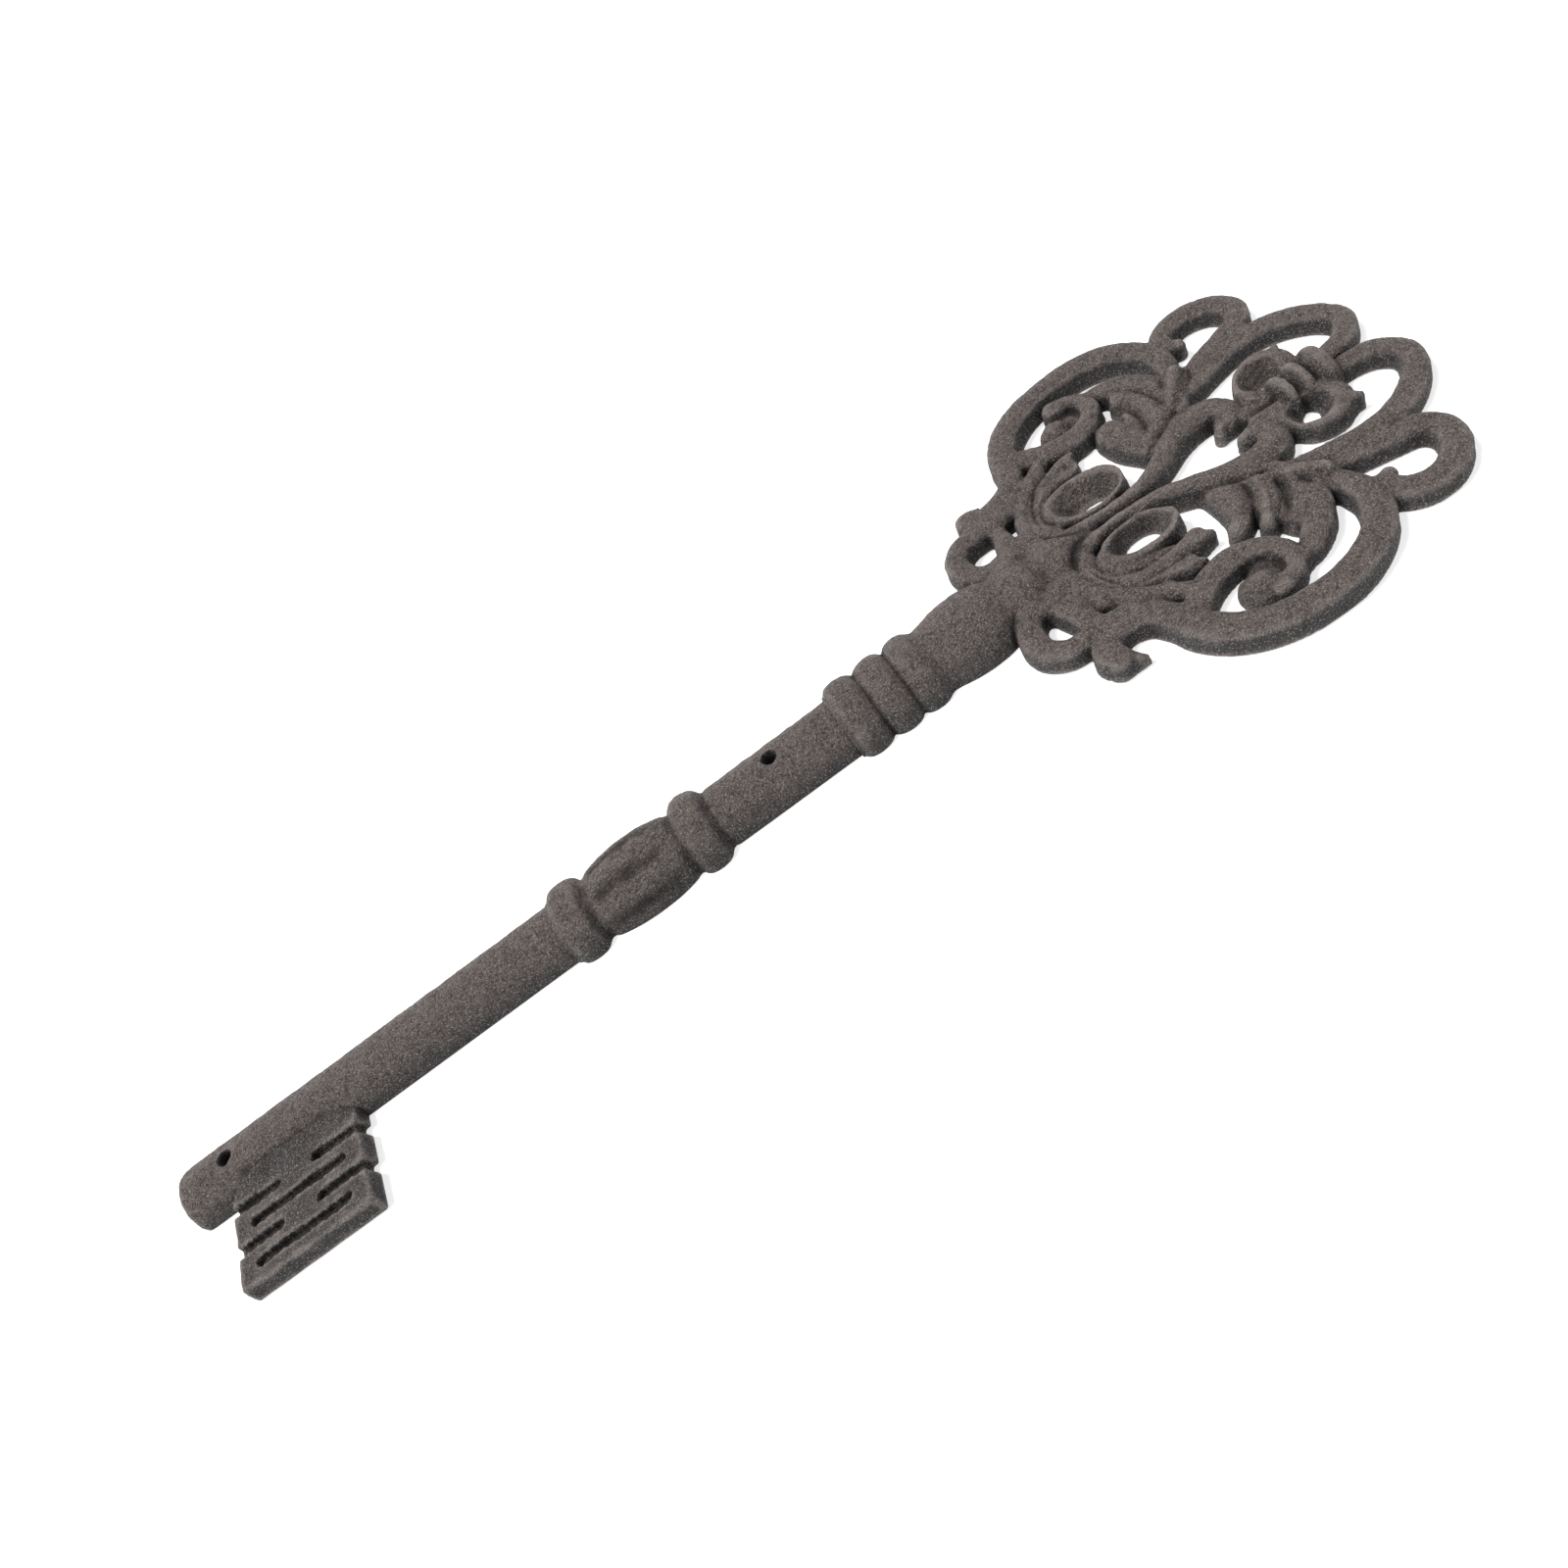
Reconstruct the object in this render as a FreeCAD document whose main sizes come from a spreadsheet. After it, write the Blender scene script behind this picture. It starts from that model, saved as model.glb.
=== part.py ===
# Cast iron skeleton key, half round in front with a flat back, for screwing flat to a wall.
# The key lies along X, from the tip of the shank to the end of the bow. Y points to the side
# away from the bit, Z from the flat back to the front. The origin is the middle of the back.

import FreeCAD, Part
import os
import Sketcher
from FreeCAD import Vector

os.makedirs("parts", exist_ok=True)
doc = FreeCAD.newDocument("SkeletonKey")

# Driving dimensions, in millimetres and degrees
SIZES = {
    "front_shank_length": 114.0,
    "shank_radius": 8.9,
    "tip_rounding": 1.6,
    "collar_length": 9.3,
    "collar_edge_radius": 10.2,
    "collar_bulge": 1.4,
    "baluster_length": 26.2,
    "baluster_end_radius": 10.0,
    "baluster_bulge": 1.5,
    "flute_radius": 5.0,
    "flute_depth": 0.7,
    "flute_spacing_angle": 52.0,
    "rear_shank_length": 37.0,
    "neck_ring_length": 8.4,
    "neck_ring_edge_radius": 10.9,
    "neck_ring_bulge": 0.9,
    "neck_baluster_length": 21.0,
    "neck_baluster_end_radius": 10.0,
    "neck_baluster_bulge": 1.4,
    "neck_bulb_length": 8.4,
    "neck_bulb_edge_radius": 9.4,
    "neck_bulb_bulge": 0.7,
    "trunk_length": 14.0,
    "trunk_root_radius": 8.8,
    "trunk_end_radius": 7.6,
    "screw_hole_diameter": 4.2,
    "screw_hole_offset": 15.2,
    "screw_hole_spacing": 162.4,
    "bit_offset": 12.8,
    "bit_length": 37.2,
    "bit_reach": 34.4,
    "bit_thickness": 5.3,
    "bit_draft": 0.9,
    "bit_root_reach": 12.4,
    "bit_root_width": 4.6,
    "bit_root_height": 7.4,
    "bit_root_hollow": 0.55,
    "bit_slot_width": 1.9,
    "bit_slot_depth": 1.7,
    "bit_slot_pitch": 5.2,
    "bit_first_slot_reach": 13.3,
    "bit_long_slot_length": 27.0,
    "bit_short_slot_length": 13.6,
    "bit_notch_width": 2.6,
    "bit_notch_depth": 1.5,
    "bow_length": 104.2,
    "bow_half_width": 53.7,
    "scroll_half_width": 3.6,
    "scroll_height": 6.6,
    "bead_half_thickness": 2.2,
    "bead_half_length": 6.0,
    "bead_height": 7.8,
}


def make_sheet(name):
    book = doc.addObject("Spreadsheet::Sheet", name)
    for row, (alias, value) in enumerate(SIZES.items(), start=1):
        book.set(f"A{row}", alias)
        book.set(f"B{row}", str(value))
        book.setAlias(f"B{row}", alias)
    doc.recompute()
    return book


sheet = make_sheet("Sizes")


def size(alias):
    return float(sheet.get(alias))


def worth(expression):
    """The number that an expression in the sheet's sizes comes to."""
    value = sheet.evalExpression(expression)
    return float(getattr(value, "Value", value))


# Stations along the key: each turned piece starts where the one before it ends
TURNED_LENGTHS = [
    ("front_shank", "front_shank_length"),
    ("front_collar", "collar_length"),
    ("fluted_baluster", "baluster_length"),
    ("rear_collar", "collar_length"),
    ("rear_shank", "rear_shank_length"),
    ("neck_ring_1", "neck_ring_length"),
    ("neck_ring_2", "neck_ring_length"),
    ("neck_ring_3", "neck_ring_length"),
    ("neck_baluster", "neck_baluster_length"),
    ("neck_bulb", "neck_bulb_length"),
    ("bow_trunk", "trunk_length"),
]
BOW_LABELS = ("neck_bulb", "bow_trunk")


def station_expressions():
    stem = " + ".join(f"Sizes.{alias}" for label, alias in TURNED_LENGTHS if label not in BOW_LABELS)
    tip = f"-({stem} + Sizes.bow_length) / 2"
    starts = {"tip": tip, "bow_root": f"{tip} + {stem}"}
    walk = tip
    for label, alias in TURNED_LENGTHS:
        starts[label] = walk
        walk = f"{walk} + Sizes.{alias}"
    return starts


STARTS = station_expressions()


# Sketch helpers: an outline's corners are pairs of expressions, so the sheet sets every one
def origin_feature(body, role):
    return [item for item in body.Origin.OriginFeatures if item.Role == role][0]


def new_body(label, start):
    body = doc.addObject("PartDesign::Body", label)
    body.Label = label
    body.setExpression("Placement.Base.x", start)
    return body


def new_sketch(body, name, role):
    sketch = body.newObject("Sketcher::SketchObject", name)
    sketch.AttachmentSupport = [(origin_feature(body, role), "")]
    sketch.MapMode = "FlatFace"
    sketch.Visibility = False
    return sketch


def add_bound(sketch, expression, *constraint):
    number = sketch.addConstraint(Sketcher.Constraint(*constraint))
    sketch.setExpression(f"Constraints[{number}]", expression)


def pin(sketch, item, end, x, y):
    """Ties one point of a sketch's geometry to its two coordinates."""
    for kind, axis, expression in (("DistanceX", -2, x), ("DistanceY", -1, y)):
        value = worth(expression)
        if expression == "0":
            sketch.addConstraint(Sketcher.Constraint("PointOnObject", item, end, axis))
        elif value < 0:
            add_bound(sketch, f"-({expression})", kind, item, end, -1, 1, -value)
        else:
            add_bound(sketch, expression, kind, -1, 1, item, end, value)


def draw_outline(sketch, corners, bulges):
    """A closed outline, counter-clockwise. A bulge is the rise of the arc after its corner."""
    spots = [Vector(worth(x), worth(y), 0) for x, y in corners]
    ends = []
    for i, spot in enumerate(spots):
        follower = spots[(i + 1) % len(spots)]
        if i in bulges:
            along = (follower - spot).normalize()
            middle = (spot + follower) / 2 + Vector(along.y, -along.x, 0) * worth(bulges[i])
            inward = worth(bulges[i]) < 0
            first, last = (follower, spot) if inward else (spot, follower)
            item = sketch.addGeometry(Part.Arc(first, middle, last))
            ends.append((item, 2, 1) if inward else (item, 1, 2))
        else:
            item = sketch.addGeometry(Part.LineSegment(spot, follower))
            ends.append((item, 1, 2))
    for i, (item, start, _) in enumerate(ends):
        before, _, before_end = ends[i - 1]
        sketch.addConstraint(Sketcher.Constraint("Coincident", before, before_end, item, start))
        pin(sketch, item, start, *corners[i])
    for i, rise in bulges.items():
        (x0, y0), (x1, y1) = corners[i], corners[(i + 1) % len(corners)]
        chord = f"(({x1} - ({x0}))^2 + ({y1} - ({y0}))^2)"
        item = ends[i][0]
        add_bound(sketch, f"abs(({chord} + 4 * ({rise})^2) / (8 * ({rise})))",
                  "Radius", item, sketch.Geometry[item].Radius)


def draw_circle(sketch, x, y, radius):
    circle = Part.Circle(Vector(worth(x), worth(y), 0), Vector(0, 0, 1), worth(radius))
    item = sketch.addGeometry(circle)
    pin(sketch, item, 3, x, y)
    add_bound(sketch, radius, "Radius", item, worth(radius))


def pocket_through(body, sketch, name):
    pocket = body.newObject("PartDesign::Pocket", name)
    pocket.Profile = sketch
    pocket.Type = "ThroughAll"
    pocket.Midplane = True
    body.Tip = pocket
    return pocket


# Turned pieces: a half profile swept half a turn about the key's axis, so the back is flat
def turned(label, first_radius, last_radius, bulge=None, rounding=None):
    body = new_body(label, STARTS[label])
    sketch = new_sketch(body, f"{label}_profile", "XZ_Plane")
    length = f"Sizes.{dict(TURNED_LENGTHS)[label]}"
    first, last = f"Sizes.{first_radius}", f"Sizes.{last_radius}"
    corners = [("0", "0"), (length, "0"), (length, last)]
    bulges = {2: f"Sizes.{bulge}"} if bulge else {}
    if rounding:
        corner = f"Sizes.{rounding}"
        corners += [(corner, first), ("0", f"{first} - {corner}")]
        bulges[3] = f"{corner} * (1 - sqrt(2) / 2)"
    else:
        corners += [("0", first)]
    draw_outline(sketch, corners, bulges)
    turn = body.newObject("PartDesign::Revolution", f"{label}_turn")
    turn.Profile = sketch
    turn.ReferenceAxis = (sketch, ["H_Axis"])
    turn.Angle = 180
    turn.Midplane = True
    return body


def screw_hole(body, offset):
    """A cored hole from the crest straight through to the flat back."""
    sketch = new_sketch(body, f"{body.Label}_screw", "XY_Plane")
    draw_circle(sketch, offset, "0", "Sizes.screw_hole_diameter / 2")
    pocket_through(body, sketch, f"{body.Label}_screw_hole")


def flutes(body):
    """Shallow channels along the baluster, spaced round its front and deepest at mid length."""
    sketch = new_sketch(body, f"{body.Label}_flute", "YZ_Plane")
    crest = "(Sizes.baluster_end_radius + Sizes.baluster_bulge)"
    centre = f"({crest} + Sizes.flute_radius - Sizes.flute_depth)"
    first_turn = "(Sizes.flute_spacing_angle * 1.5 * 1 deg)"
    draw_circle(sketch, f"{centre} * sin{first_turn}", f"{centre} * cos{first_turn}",
                "Sizes.flute_radius")
    pocket = pocket_through(body, sketch, f"{body.Label}_channel")
    pattern = body.newObject("PartDesign::PolarPattern", f"{body.Label}_channels")
    pattern.Originals = [pocket]
    pattern.Axis = (origin_feature(body, "X_Axis"), [""])
    pattern.Occurrences = 4
    pattern.setExpression("Angle", "Sizes.flute_spacing_angle * 3 * 1 deg")
    body.Tip = pattern


def make_shank():
    front = turned("front_shank", "shank_radius", "shank_radius", rounding="tip_rounding")
    screw_hole(front, "Sizes.screw_hole_offset")
    turned("front_collar", "collar_edge_radius", "collar_edge_radius", "collar_bulge")
    baluster = turned("fluted_baluster", "baluster_end_radius", "baluster_end_radius",
                      "baluster_bulge")
    flutes(baluster)
    turned("rear_collar", "collar_edge_radius", "collar_edge_radius", "collar_bulge")
    rear = turned("rear_shank", "shank_radius", "shank_radius")
    before = "(Sizes.front_shank_length + 2 * Sizes.collar_length + Sizes.baluster_length)"
    screw_hole(rear, f"Sizes.screw_hole_offset + Sizes.screw_hole_spacing - {before}")
    for label in ("neck_ring_1", "neck_ring_2", "neck_ring_3"):
        turned(label, "neck_ring_edge_radius", "neck_ring_edge_radius", "neck_ring_bulge")
    turned("neck_baluster", "neck_baluster_end_radius", "neck_baluster_end_radius",
           "neck_baluster_bulge")
    turned("neck_bulb", "neck_bulb_edge_radius", "neck_bulb_edge_radius", "neck_bulb_bulge")
    turned("bow_trunk", "trunk_root_radius", "trunk_end_radius")


# Bit: a flat plate with a drafted outer edge and a hollow fillet up to the shank
def bit_blank(body):
    section = new_sketch(body, "bit_section", "YZ_Plane")
    draw_outline(section, [
        ("0", "0"),
        ("0", "Sizes.bit_root_height"),
        ("-Sizes.bit_root_width", "Sizes.bit_root_height"),
        ("-Sizes.bit_root_reach", "Sizes.bit_thickness"),
        ("-Sizes.bit_reach + Sizes.bit_draft", "Sizes.bit_thickness"),
        ("-Sizes.bit_reach", "0"),
    ], {2: "-Sizes.bit_root_hollow"})
    pad = body.newObject("PartDesign::Pad", "bit_pad")
    pad.Profile = section
    pad.setExpression("Length", "Sizes.bit_length")
    seat = new_sketch(body, "bit_seat", "YZ_Plane")
    draw_circle(seat, "0", "0", "Sizes.shank_radius")
    pocket_through(body, seat, "bit_seat_cut")


def bit_pocket(body, name, x_low, x_high, y_middle, width, depth):
    """One slot or notch, and its copy two rows further out."""
    sketch = new_sketch(body, name, "XY_Plane")
    sketch.setExpression("AttachmentOffset.Base.z", "Sizes.bit_thickness")
    low, high = f"{y_middle} - {width} / 2", f"{y_middle} + {width} / 2"
    draw_outline(sketch, [(x_low, low), (x_high, low), (x_high, high), (x_low, high)], {})
    pocket = body.newObject("PartDesign::Pocket", f"{name}_cut")
    pocket.Profile = sketch
    pocket.setExpression("Length", depth)
    pattern = body.newObject("PartDesign::LinearPattern", f"{name}_rows")
    pattern.Originals = [pocket]
    pattern.Direction = (origin_feature(body, "Y_Axis"), [""])
    pattern.Reversed = True
    pattern.Occurrences = 2
    pattern.setExpression("Length", "2 * Sizes.bit_slot_pitch")
    body.Tip = pattern


def make_bit():
    body = new_body("bit_plate", f"{STARTS['tip']} + Sizes.bit_offset")
    bit_blank(body)
    first, second = "-Sizes.bit_first_slot_reach", "-Sizes.bit_first_slot_reach - Sizes.bit_slot_pitch"
    far_end = "Sizes.bit_length"
    width, depth = "Sizes.bit_slot_width", "Sizes.bit_slot_depth"
    inset = "(Sizes.bit_length - Sizes.bit_long_slot_length) / 2"
    bit_pocket(body, "near_slot", "0", "Sizes.bit_short_slot_length", first, width, depth)
    bit_pocket(body, "far_slot", f"{far_end} - Sizes.bit_short_slot_length", far_end, first,
               width, depth)
    bit_pocket(body, "long_slot", inset, f"{far_end} - {inset}", second, width, depth)
    bit_pocket(body, "notch", f"{far_end} - Sizes.bit_notch_depth", far_end, first,
               "Sizes.bit_notch_width", "Sizes.bit_thickness")


# Beads that tie the scrolls together in the middle of the bow
BEAD_SHARES = {
    "tie_bead_small": (0.744, 0.85, 0.94),
    "tie_bead_middle": (0.784, 0.95, 1.0),
    "tie_bead_large": (0.828, 1.1, 1.06),
}


def make_beads():
    for label, (place, width, height) in BEAD_SHARES.items():
        bead = doc.addObject("Part::Ellipsoid", label)
        bead.Label = label
        bead.Angle1 = 0
        bead.setExpression("Radius1", f"Sizes.bead_height * {height}")
        bead.setExpression("Radius2", f"Sizes.bead_half_thickness * {width}")
        bead.setExpression("Radius3", f"Sizes.bead_half_length * {height}")
        bead.setExpression("Placement.Base.x", f"{STARTS['bow_root']} + Sizes.bow_length * {place}")


# Scrolls of the bow, on the side away from the bit. Each row is a place along a strand, as
# shares of the bow's length, of its half width, of a scroll's half width and of its height
STRAND_SHARES = {
    "outer": [
        (0.643, 0.484, 0.72, 0.83), (0.660, 0.596, 0.89, 0.91), (0.655, 0.717, 0.94, 0.95),
        (0.609, 0.838, 0.97, 0.98), (0.537, 0.911, 1.00, 1.00), (0.451, 0.933, 1.00, 1.02),
        (0.360, 0.909, 1.03, 1.02), (0.288, 0.832, 1.06, 1.02),
        (0.243, 0.723, 1.06, 1.02), (0.225, 0.611, 1.00, 0.98),
        (0.195, 0.521, 0.94, 0.94), (0.144, 0.488, 0.92, 0.91), (0.096, 0.508, 0.92, 0.91),
        (0.069, 0.577, 0.97, 0.91), (0.094, 0.629, 0.67, 0.76)],
    "spiral": [
        (0.250, 0.670, 0.83, 0.83), (0.288, 0.605, 0.89, 0.91), (0.336, 0.562, 0.94, 0.91),
        (0.393, 0.553, 0.92, 0.91), (0.451, 0.601, 0.86, 0.91), (0.470, 0.689, 0.78, 0.91),
        (0.441, 0.764, 0.69, 0.91), (0.389, 0.776, 0.69, 0.91)],
    "spiral_knob": [
        (0.377, 0.693, 0.69, 0.91), (0.400, 0.690, 0.72, 0.91)],
    "spiral_web": [
        (0.355, 0.652, 0.72, 0.39), (0.393, 0.661, 1.00, 0.42), (0.437, 0.680, 0.72, 0.39)],
    "crescent": [
        (0.590, 0.307, 0.78, 0.91), (0.605, 0.410, 0.89, 0.91), (0.595, 0.521, 1.00, 0.91),
        (0.561, 0.624, 1.00, 0.91), (0.518, 0.695, 0.78, 0.83), (0.485, 0.730, 0.44, 0.76)],
    "lobe_low": [
        (0.499, 0.177, 0.89, 0.91), (0.501, 0.261, 1.06, 0.91), (0.485, 0.354, 1.06, 0.88),
        (0.456, 0.428, 0.78, 0.76), (0.427, 0.475, 0.36, 0.61)],
    "lobe_middle": [
        (0.552, 0.242, 0.89, 0.91), (0.547, 0.354, 0.94, 0.91), (0.518, 0.456, 0.89, 0.83),
        (0.489, 0.531, 0.61, 0.76), (0.467, 0.587, 0.31, 0.61)],
    "stem": [
        (0.211, 0.052, 0.78, 1.06), (0.288, 0.043, 0.64, 1.06), (0.355, 0.043, 0.64, 0.98),
        (0.413, 0.056, 0.75, 0.98), (0.470, 0.097, 0.92, 0.98), (0.528, 0.156, 1.00, 0.98),
        (0.585, 0.192, 1.06, 0.98), (0.643, 0.186, 1.06, 0.98), (0.672, 0.119, 0.89, 0.91),
        (0.655, 0.056, 0.78, 0.91), (0.630, 0.056, 0.64, 0.83)],
    "curl": [
        (0.686, 0.065, 0.61, 0.91), (0.703, 0.149, 0.67, 0.91), (0.729, 0.216, 0.81, 0.91),
        (0.773, 0.238, 0.89, 0.91), (0.806, 0.196, 0.86, 0.91), (0.802, 0.121, 0.72, 0.91)],
    "curl_base": [
        (0.662, 0.037, 0.56, 0.91), (0.710, 0.043, 0.56, 0.91), (0.749, 0.048, 0.56, 0.91),
        (0.797, 0.056, 0.61, 0.91)],
    "heart": [
        (0.609, 0.354, 0.78, 0.83), (0.653, 0.378, 0.83, 0.83), (0.710, 0.406, 0.83, 0.83),
        (0.777, 0.423, 0.83, 0.83), (0.845, 0.415, 0.86, 0.83), (0.907, 0.363, 0.86, 0.83),
        (0.953, 0.279, 0.83, 0.83), (0.973, 0.182, 0.78, 0.83), (0.948, 0.099, 0.78, 0.83),
        (0.907, 0.060, 0.72, 0.83), (0.854, 0.048, 0.67, 0.83)],
    "side": [
        (0.732, 0.633, 0.61, 0.76), (0.701, 0.670, 0.78, 0.83), (0.705, 0.736, 0.86, 0.83),
        (0.744, 0.782, 0.89, 0.83), (0.797, 0.778, 0.89, 0.83), (0.845, 0.717, 0.89, 0.83),
        (0.864, 0.620, 0.86, 0.83), (0.843, 0.540, 0.83, 0.83), (0.787, 0.503, 0.81, 0.83),
        (0.720, 0.471, 0.78, 0.83), (0.662, 0.439, 0.72, 0.83)],
    "bud": [
        (0.576, 0.335, 0.61, 0.91), (0.619, 0.410, 0.78, 0.98), (0.655, 0.484, 0.72, 0.91)],
    "leaf_outer": [
        (0.173, 0.186, 0.69, 0.91), (0.180, 0.298, 0.72, 0.91), (0.211, 0.400, 0.78, 0.91),
        (0.250, 0.475, 0.67, 0.83), (0.288, 0.531, 0.39, 0.68)],
    "leaf_middle": [
        (0.211, 0.261, 0.69, 0.91), (0.240, 0.354, 0.78, 0.91), (0.288, 0.419, 0.78, 0.83),
        (0.350, 0.466, 0.50, 0.68)],
    "leaf_inner": [
        (0.250, 0.317, 0.69, 0.91), (0.307, 0.372, 0.72, 0.83), (0.355, 0.382, 0.67, 0.76),
        (0.398, 0.354, 0.50, 0.68)],
    "loop": [
        (0.014, 0.168, 0.78, 0.91), (-0.012, 0.251, 0.81, 0.91), (-0.012, 0.345, 0.83, 0.91),
        (0.019, 0.410, 0.83, 0.91), (0.067, 0.425, 0.83, 0.91), (0.125, 0.421, 0.83, 0.91),
        (0.182, 0.438, 0.83, 0.91)],
    "neck_lobe": [
        (0.082, 0.168, 0.81, 0.98), (0.092, 0.251, 0.83, 0.98), (0.096, 0.326, 0.72, 0.91)],
    "neck_web": [
        (0.029, 0.149, 1.00, 0.98), (0.086, 0.160, 1.17, 0.98), (0.144, 0.171, 1.22, 0.98),
        (0.202, 0.168, 1.00, 0.98)],
}

# Rings: middle and half length along the bow, as shares of its length, middle and half width
# across it, as shares of its half width, then shares of a scroll's half width and height
RING_SHARES = {"eye": ((0.287, 0.080), (0.192, 0.116), 0.84, 0.98)}

# Rounded end of a strand: distance past its last place, and size there
END_SHARES = [(0.5, 0.85), (0.85, 0.5)]

# The outer scroll is one strand in two pieces, which meet at this place of its table
OUTER_SPLIT = 7
PART_OF_STRAND = {"arch": ("outer", None, OUTER_SPLIT), "foot": ("outer", OUTER_SPLIT, None)}
FLUSH_PAIRS = [("outer_scroll_arch", "outer_scroll_foot")]

# Scroll pieces and their strands. A piece keeps what the pieces above it leave free
SCROLLS = {
    "outer_scroll_arch": ["arch"],
    "outer_scroll_foot": ["foot"],
    "inner_spiral": ["spiral", "spiral_knob", "spiral_web"],
    "leaf_eye": ["eye"],
    "acanthus_leaf": ["leaf_outer", "leaf_middle", "leaf_inner"],
    "central_stem": ["stem"],
    "curl_ring": ["curl", "curl_base"],
    "leaf_lobes": ["lobe_low", "lobe_middle"],
    "bud": ["bud"],
    "crescent_leaf": ["crescent"],
    "heart_loop": ["heart"],
    "side_loop": ["side"],
    "lower_loop": ["loop"],
    "neck_lobe": ["neck_lobe", "neck_web"],
}


def stations(name):
    """Places, directions, half widths and heights along a strand, with its rounded ends."""
    table, first, last = PART_OF_STRAND.get(name, (name, None, None))
    rows = STRAND_SHARES[table]
    places = [Vector(x * size("bow_length"), y * size("bow_half_width"), 0) for x, y, _, _ in rows]
    walk = []
    for i, (_, _, width, height) in enumerate(rows):
        along = (places[min(i + 1, len(rows) - 1)] - places[max(i - 1, 0)]).normalize()
        walk.append((places[i], along, width * size("scroll_half_width"),
                     height * size("scroll_height")))
    start = round_end(walk[0], -1)[::-1] if first is None else []
    finish = round_end(walk[-1], 1) if last is None else []
    return start + walk[first or 0:len(rows) if last is None else last + 1] + finish


def round_end(station, sense):
    place, along, half_width, height = station
    return [(place + along * (sense * past * half_width), along, scale * half_width, scale * height)
            for past, scale in END_SHARES]


def section(place, side, height):
    """An upright ellipse across a strand, from its half width as a vector and its height."""
    crown = Vector(0, 0, height)
    axes = (place - crown, place + side) if height > side.Length else (place + side, place - crown)
    return Part.Wire([Part.Ellipse(*axes, place).toShape()])


def ring_middle(name):
    """Middle of a ring, and its two radii in plan."""
    (x, x_radius), (y, y_radius), _, _ = RING_SHARES[name]
    length, width = size("bow_length"), size("bow_half_width")
    return Vector(x * length, y * width, 0), x_radius * length, y_radius * width


def ring(name):
    """A ring swept round as a circle, then stretched in plan to its two radii."""
    middle, x_radius, y_radius = ring_middle(name)
    _, _, width, height = RING_SHARES[name]
    side = Vector(width * size("scroll_half_width"), 0, 0)
    wire = section(Vector(x_radius, 0, 0), side, height * size("scroll_height"))
    whole = Part.Face(wire).revolve(Vector(0, 0, 0), Vector(0, 0, 1), 360)
    plan = FreeCAD.Matrix()
    plan.scale(1, y_radius / x_radius, 1)
    return whole.transformGeometry(plan).translated(middle)


def strand(name):
    """A scroll strand as a loft of upright elliptical sections, centred on the back."""
    if name in RING_SHARES:
        return ring(name)
    wires = [section(place, Vector(-along.y, along.x, 0) * half_width, height)
             for place, along, half_width, height in stations(name)]
    return Part.makeLoft(wires, True, False)


def front_quarter():
    """The space in front of the back and on the side away from the bit, round the bow."""
    length, width, height = size("bow_length"), size("bow_half_width"), size("scroll_height")
    return Part.makeBox(3 * length, 2 * width, 2 * height, Vector(-length, 0, 0))


def plan_discs(label):
    """Discs that cover a scroll piece's plan: one at each station and one between each two."""
    discs = []
    for name in SCROLLS[label]:
        if name in RING_SHARES:
            middle, x_radius, y_radius = ring_middle(name)
            discs.append((middle, max(x_radius, y_radius) + size("scroll_half_width")))
            continue
        walk = stations(name)
        discs += [(place, half_width) for place, _, half_width, _ in walk]
        discs += [((a[0] + b[0]) / 2, max(a[2], b[2])) for a, b in zip(walk, walk[1:])]
    return discs


def pass_close(discs, others):
    """Whether two plans come near enough to overlap, give or take a station's spacing."""
    return any(place.distanceToPoint(spot) < 1.5 * (width + reach)
               for place, width in discs for spot, reach in others)


def scroll_solid(label, quarter):
    solids = [strand(name).common(quarter) for name in SCROLLS[label]]
    return solids[0].fuse(solids[1:]) if len(solids) > 1 else solids[0]


def trimmed(label, whole, carriers, finished):
    """What is left of a scroll piece once the pieces above it have taken their space."""
    discs = plan_discs(label)
    above = list(carriers) + [shape for other, shape in finished.items()
                              if (other, label) not in FLUSH_PAIRS
                              and pass_close(discs, plan_discs(other))]
    for shape in above:
        if shape.BoundBox.intersect(whole.BoundBox):
            whole = whole.cut(shape)
    return max(whole.Solids, key=lambda solid: solid.Volume)


def make_scrolls():
    root = Vector(worth(STARTS["bow_root"]), 0, 0)
    carriers = [doc.getObject(label).Shape.translated(-root)
                for label in ("neck_baluster", "neck_bulb", "bow_trunk", *BEAD_SHARES)]
    quarter = front_quarter()
    finished = {}
    for label in SCROLLS:
        whole = scroll_solid(label, quarter)
        feature = doc.addObject("Part::Feature", f"{label}_left")
        feature.Label = f"{label}_left"
        feature.Shape = trimmed(label, whole, carriers, finished)
        feature.setExpression("Placement.Base.x", STARTS["bow_root"])
        finished[label] = whole
        twin = doc.addObject("Part::Mirroring", f"{label}_right")
        twin.Label = f"{label}_right"
        twin.Source = feature
        twin.Normal = Vector(0, 1, 0)


make_shank()
make_bit()
make_beads()
doc.recompute()
make_scrolls()
doc.recompute()


# Every object computed, every piece whole, then one file for each piece
NODES = [label for label, _ in TURNED_LENGTHS] + ["bit_plate"] + list(BEAD_SHARES)
NODES += [f"{label}_{side}" for label in SCROLLS for side in ("left", "right")]


def check_and_write():
    for item in doc.Objects:
        if "Invalid" in item.State or "Error" in item.State:
            raise RuntimeError(f"{item.Label} did not compute: {item.State}")
    for label in NODES:
        shape = doc.getObject(label).Shape
        if shape.isNull() or not shape.isValid():
            raise RuntimeError(f"{label} is not a valid shape")
        print(f"{label}: {len(shape.Solids)} solid, {shape.Volume / 1000:.2f} cm3")
        shape.exportStep(f"parts/{label}.step")


check_and_write()
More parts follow.
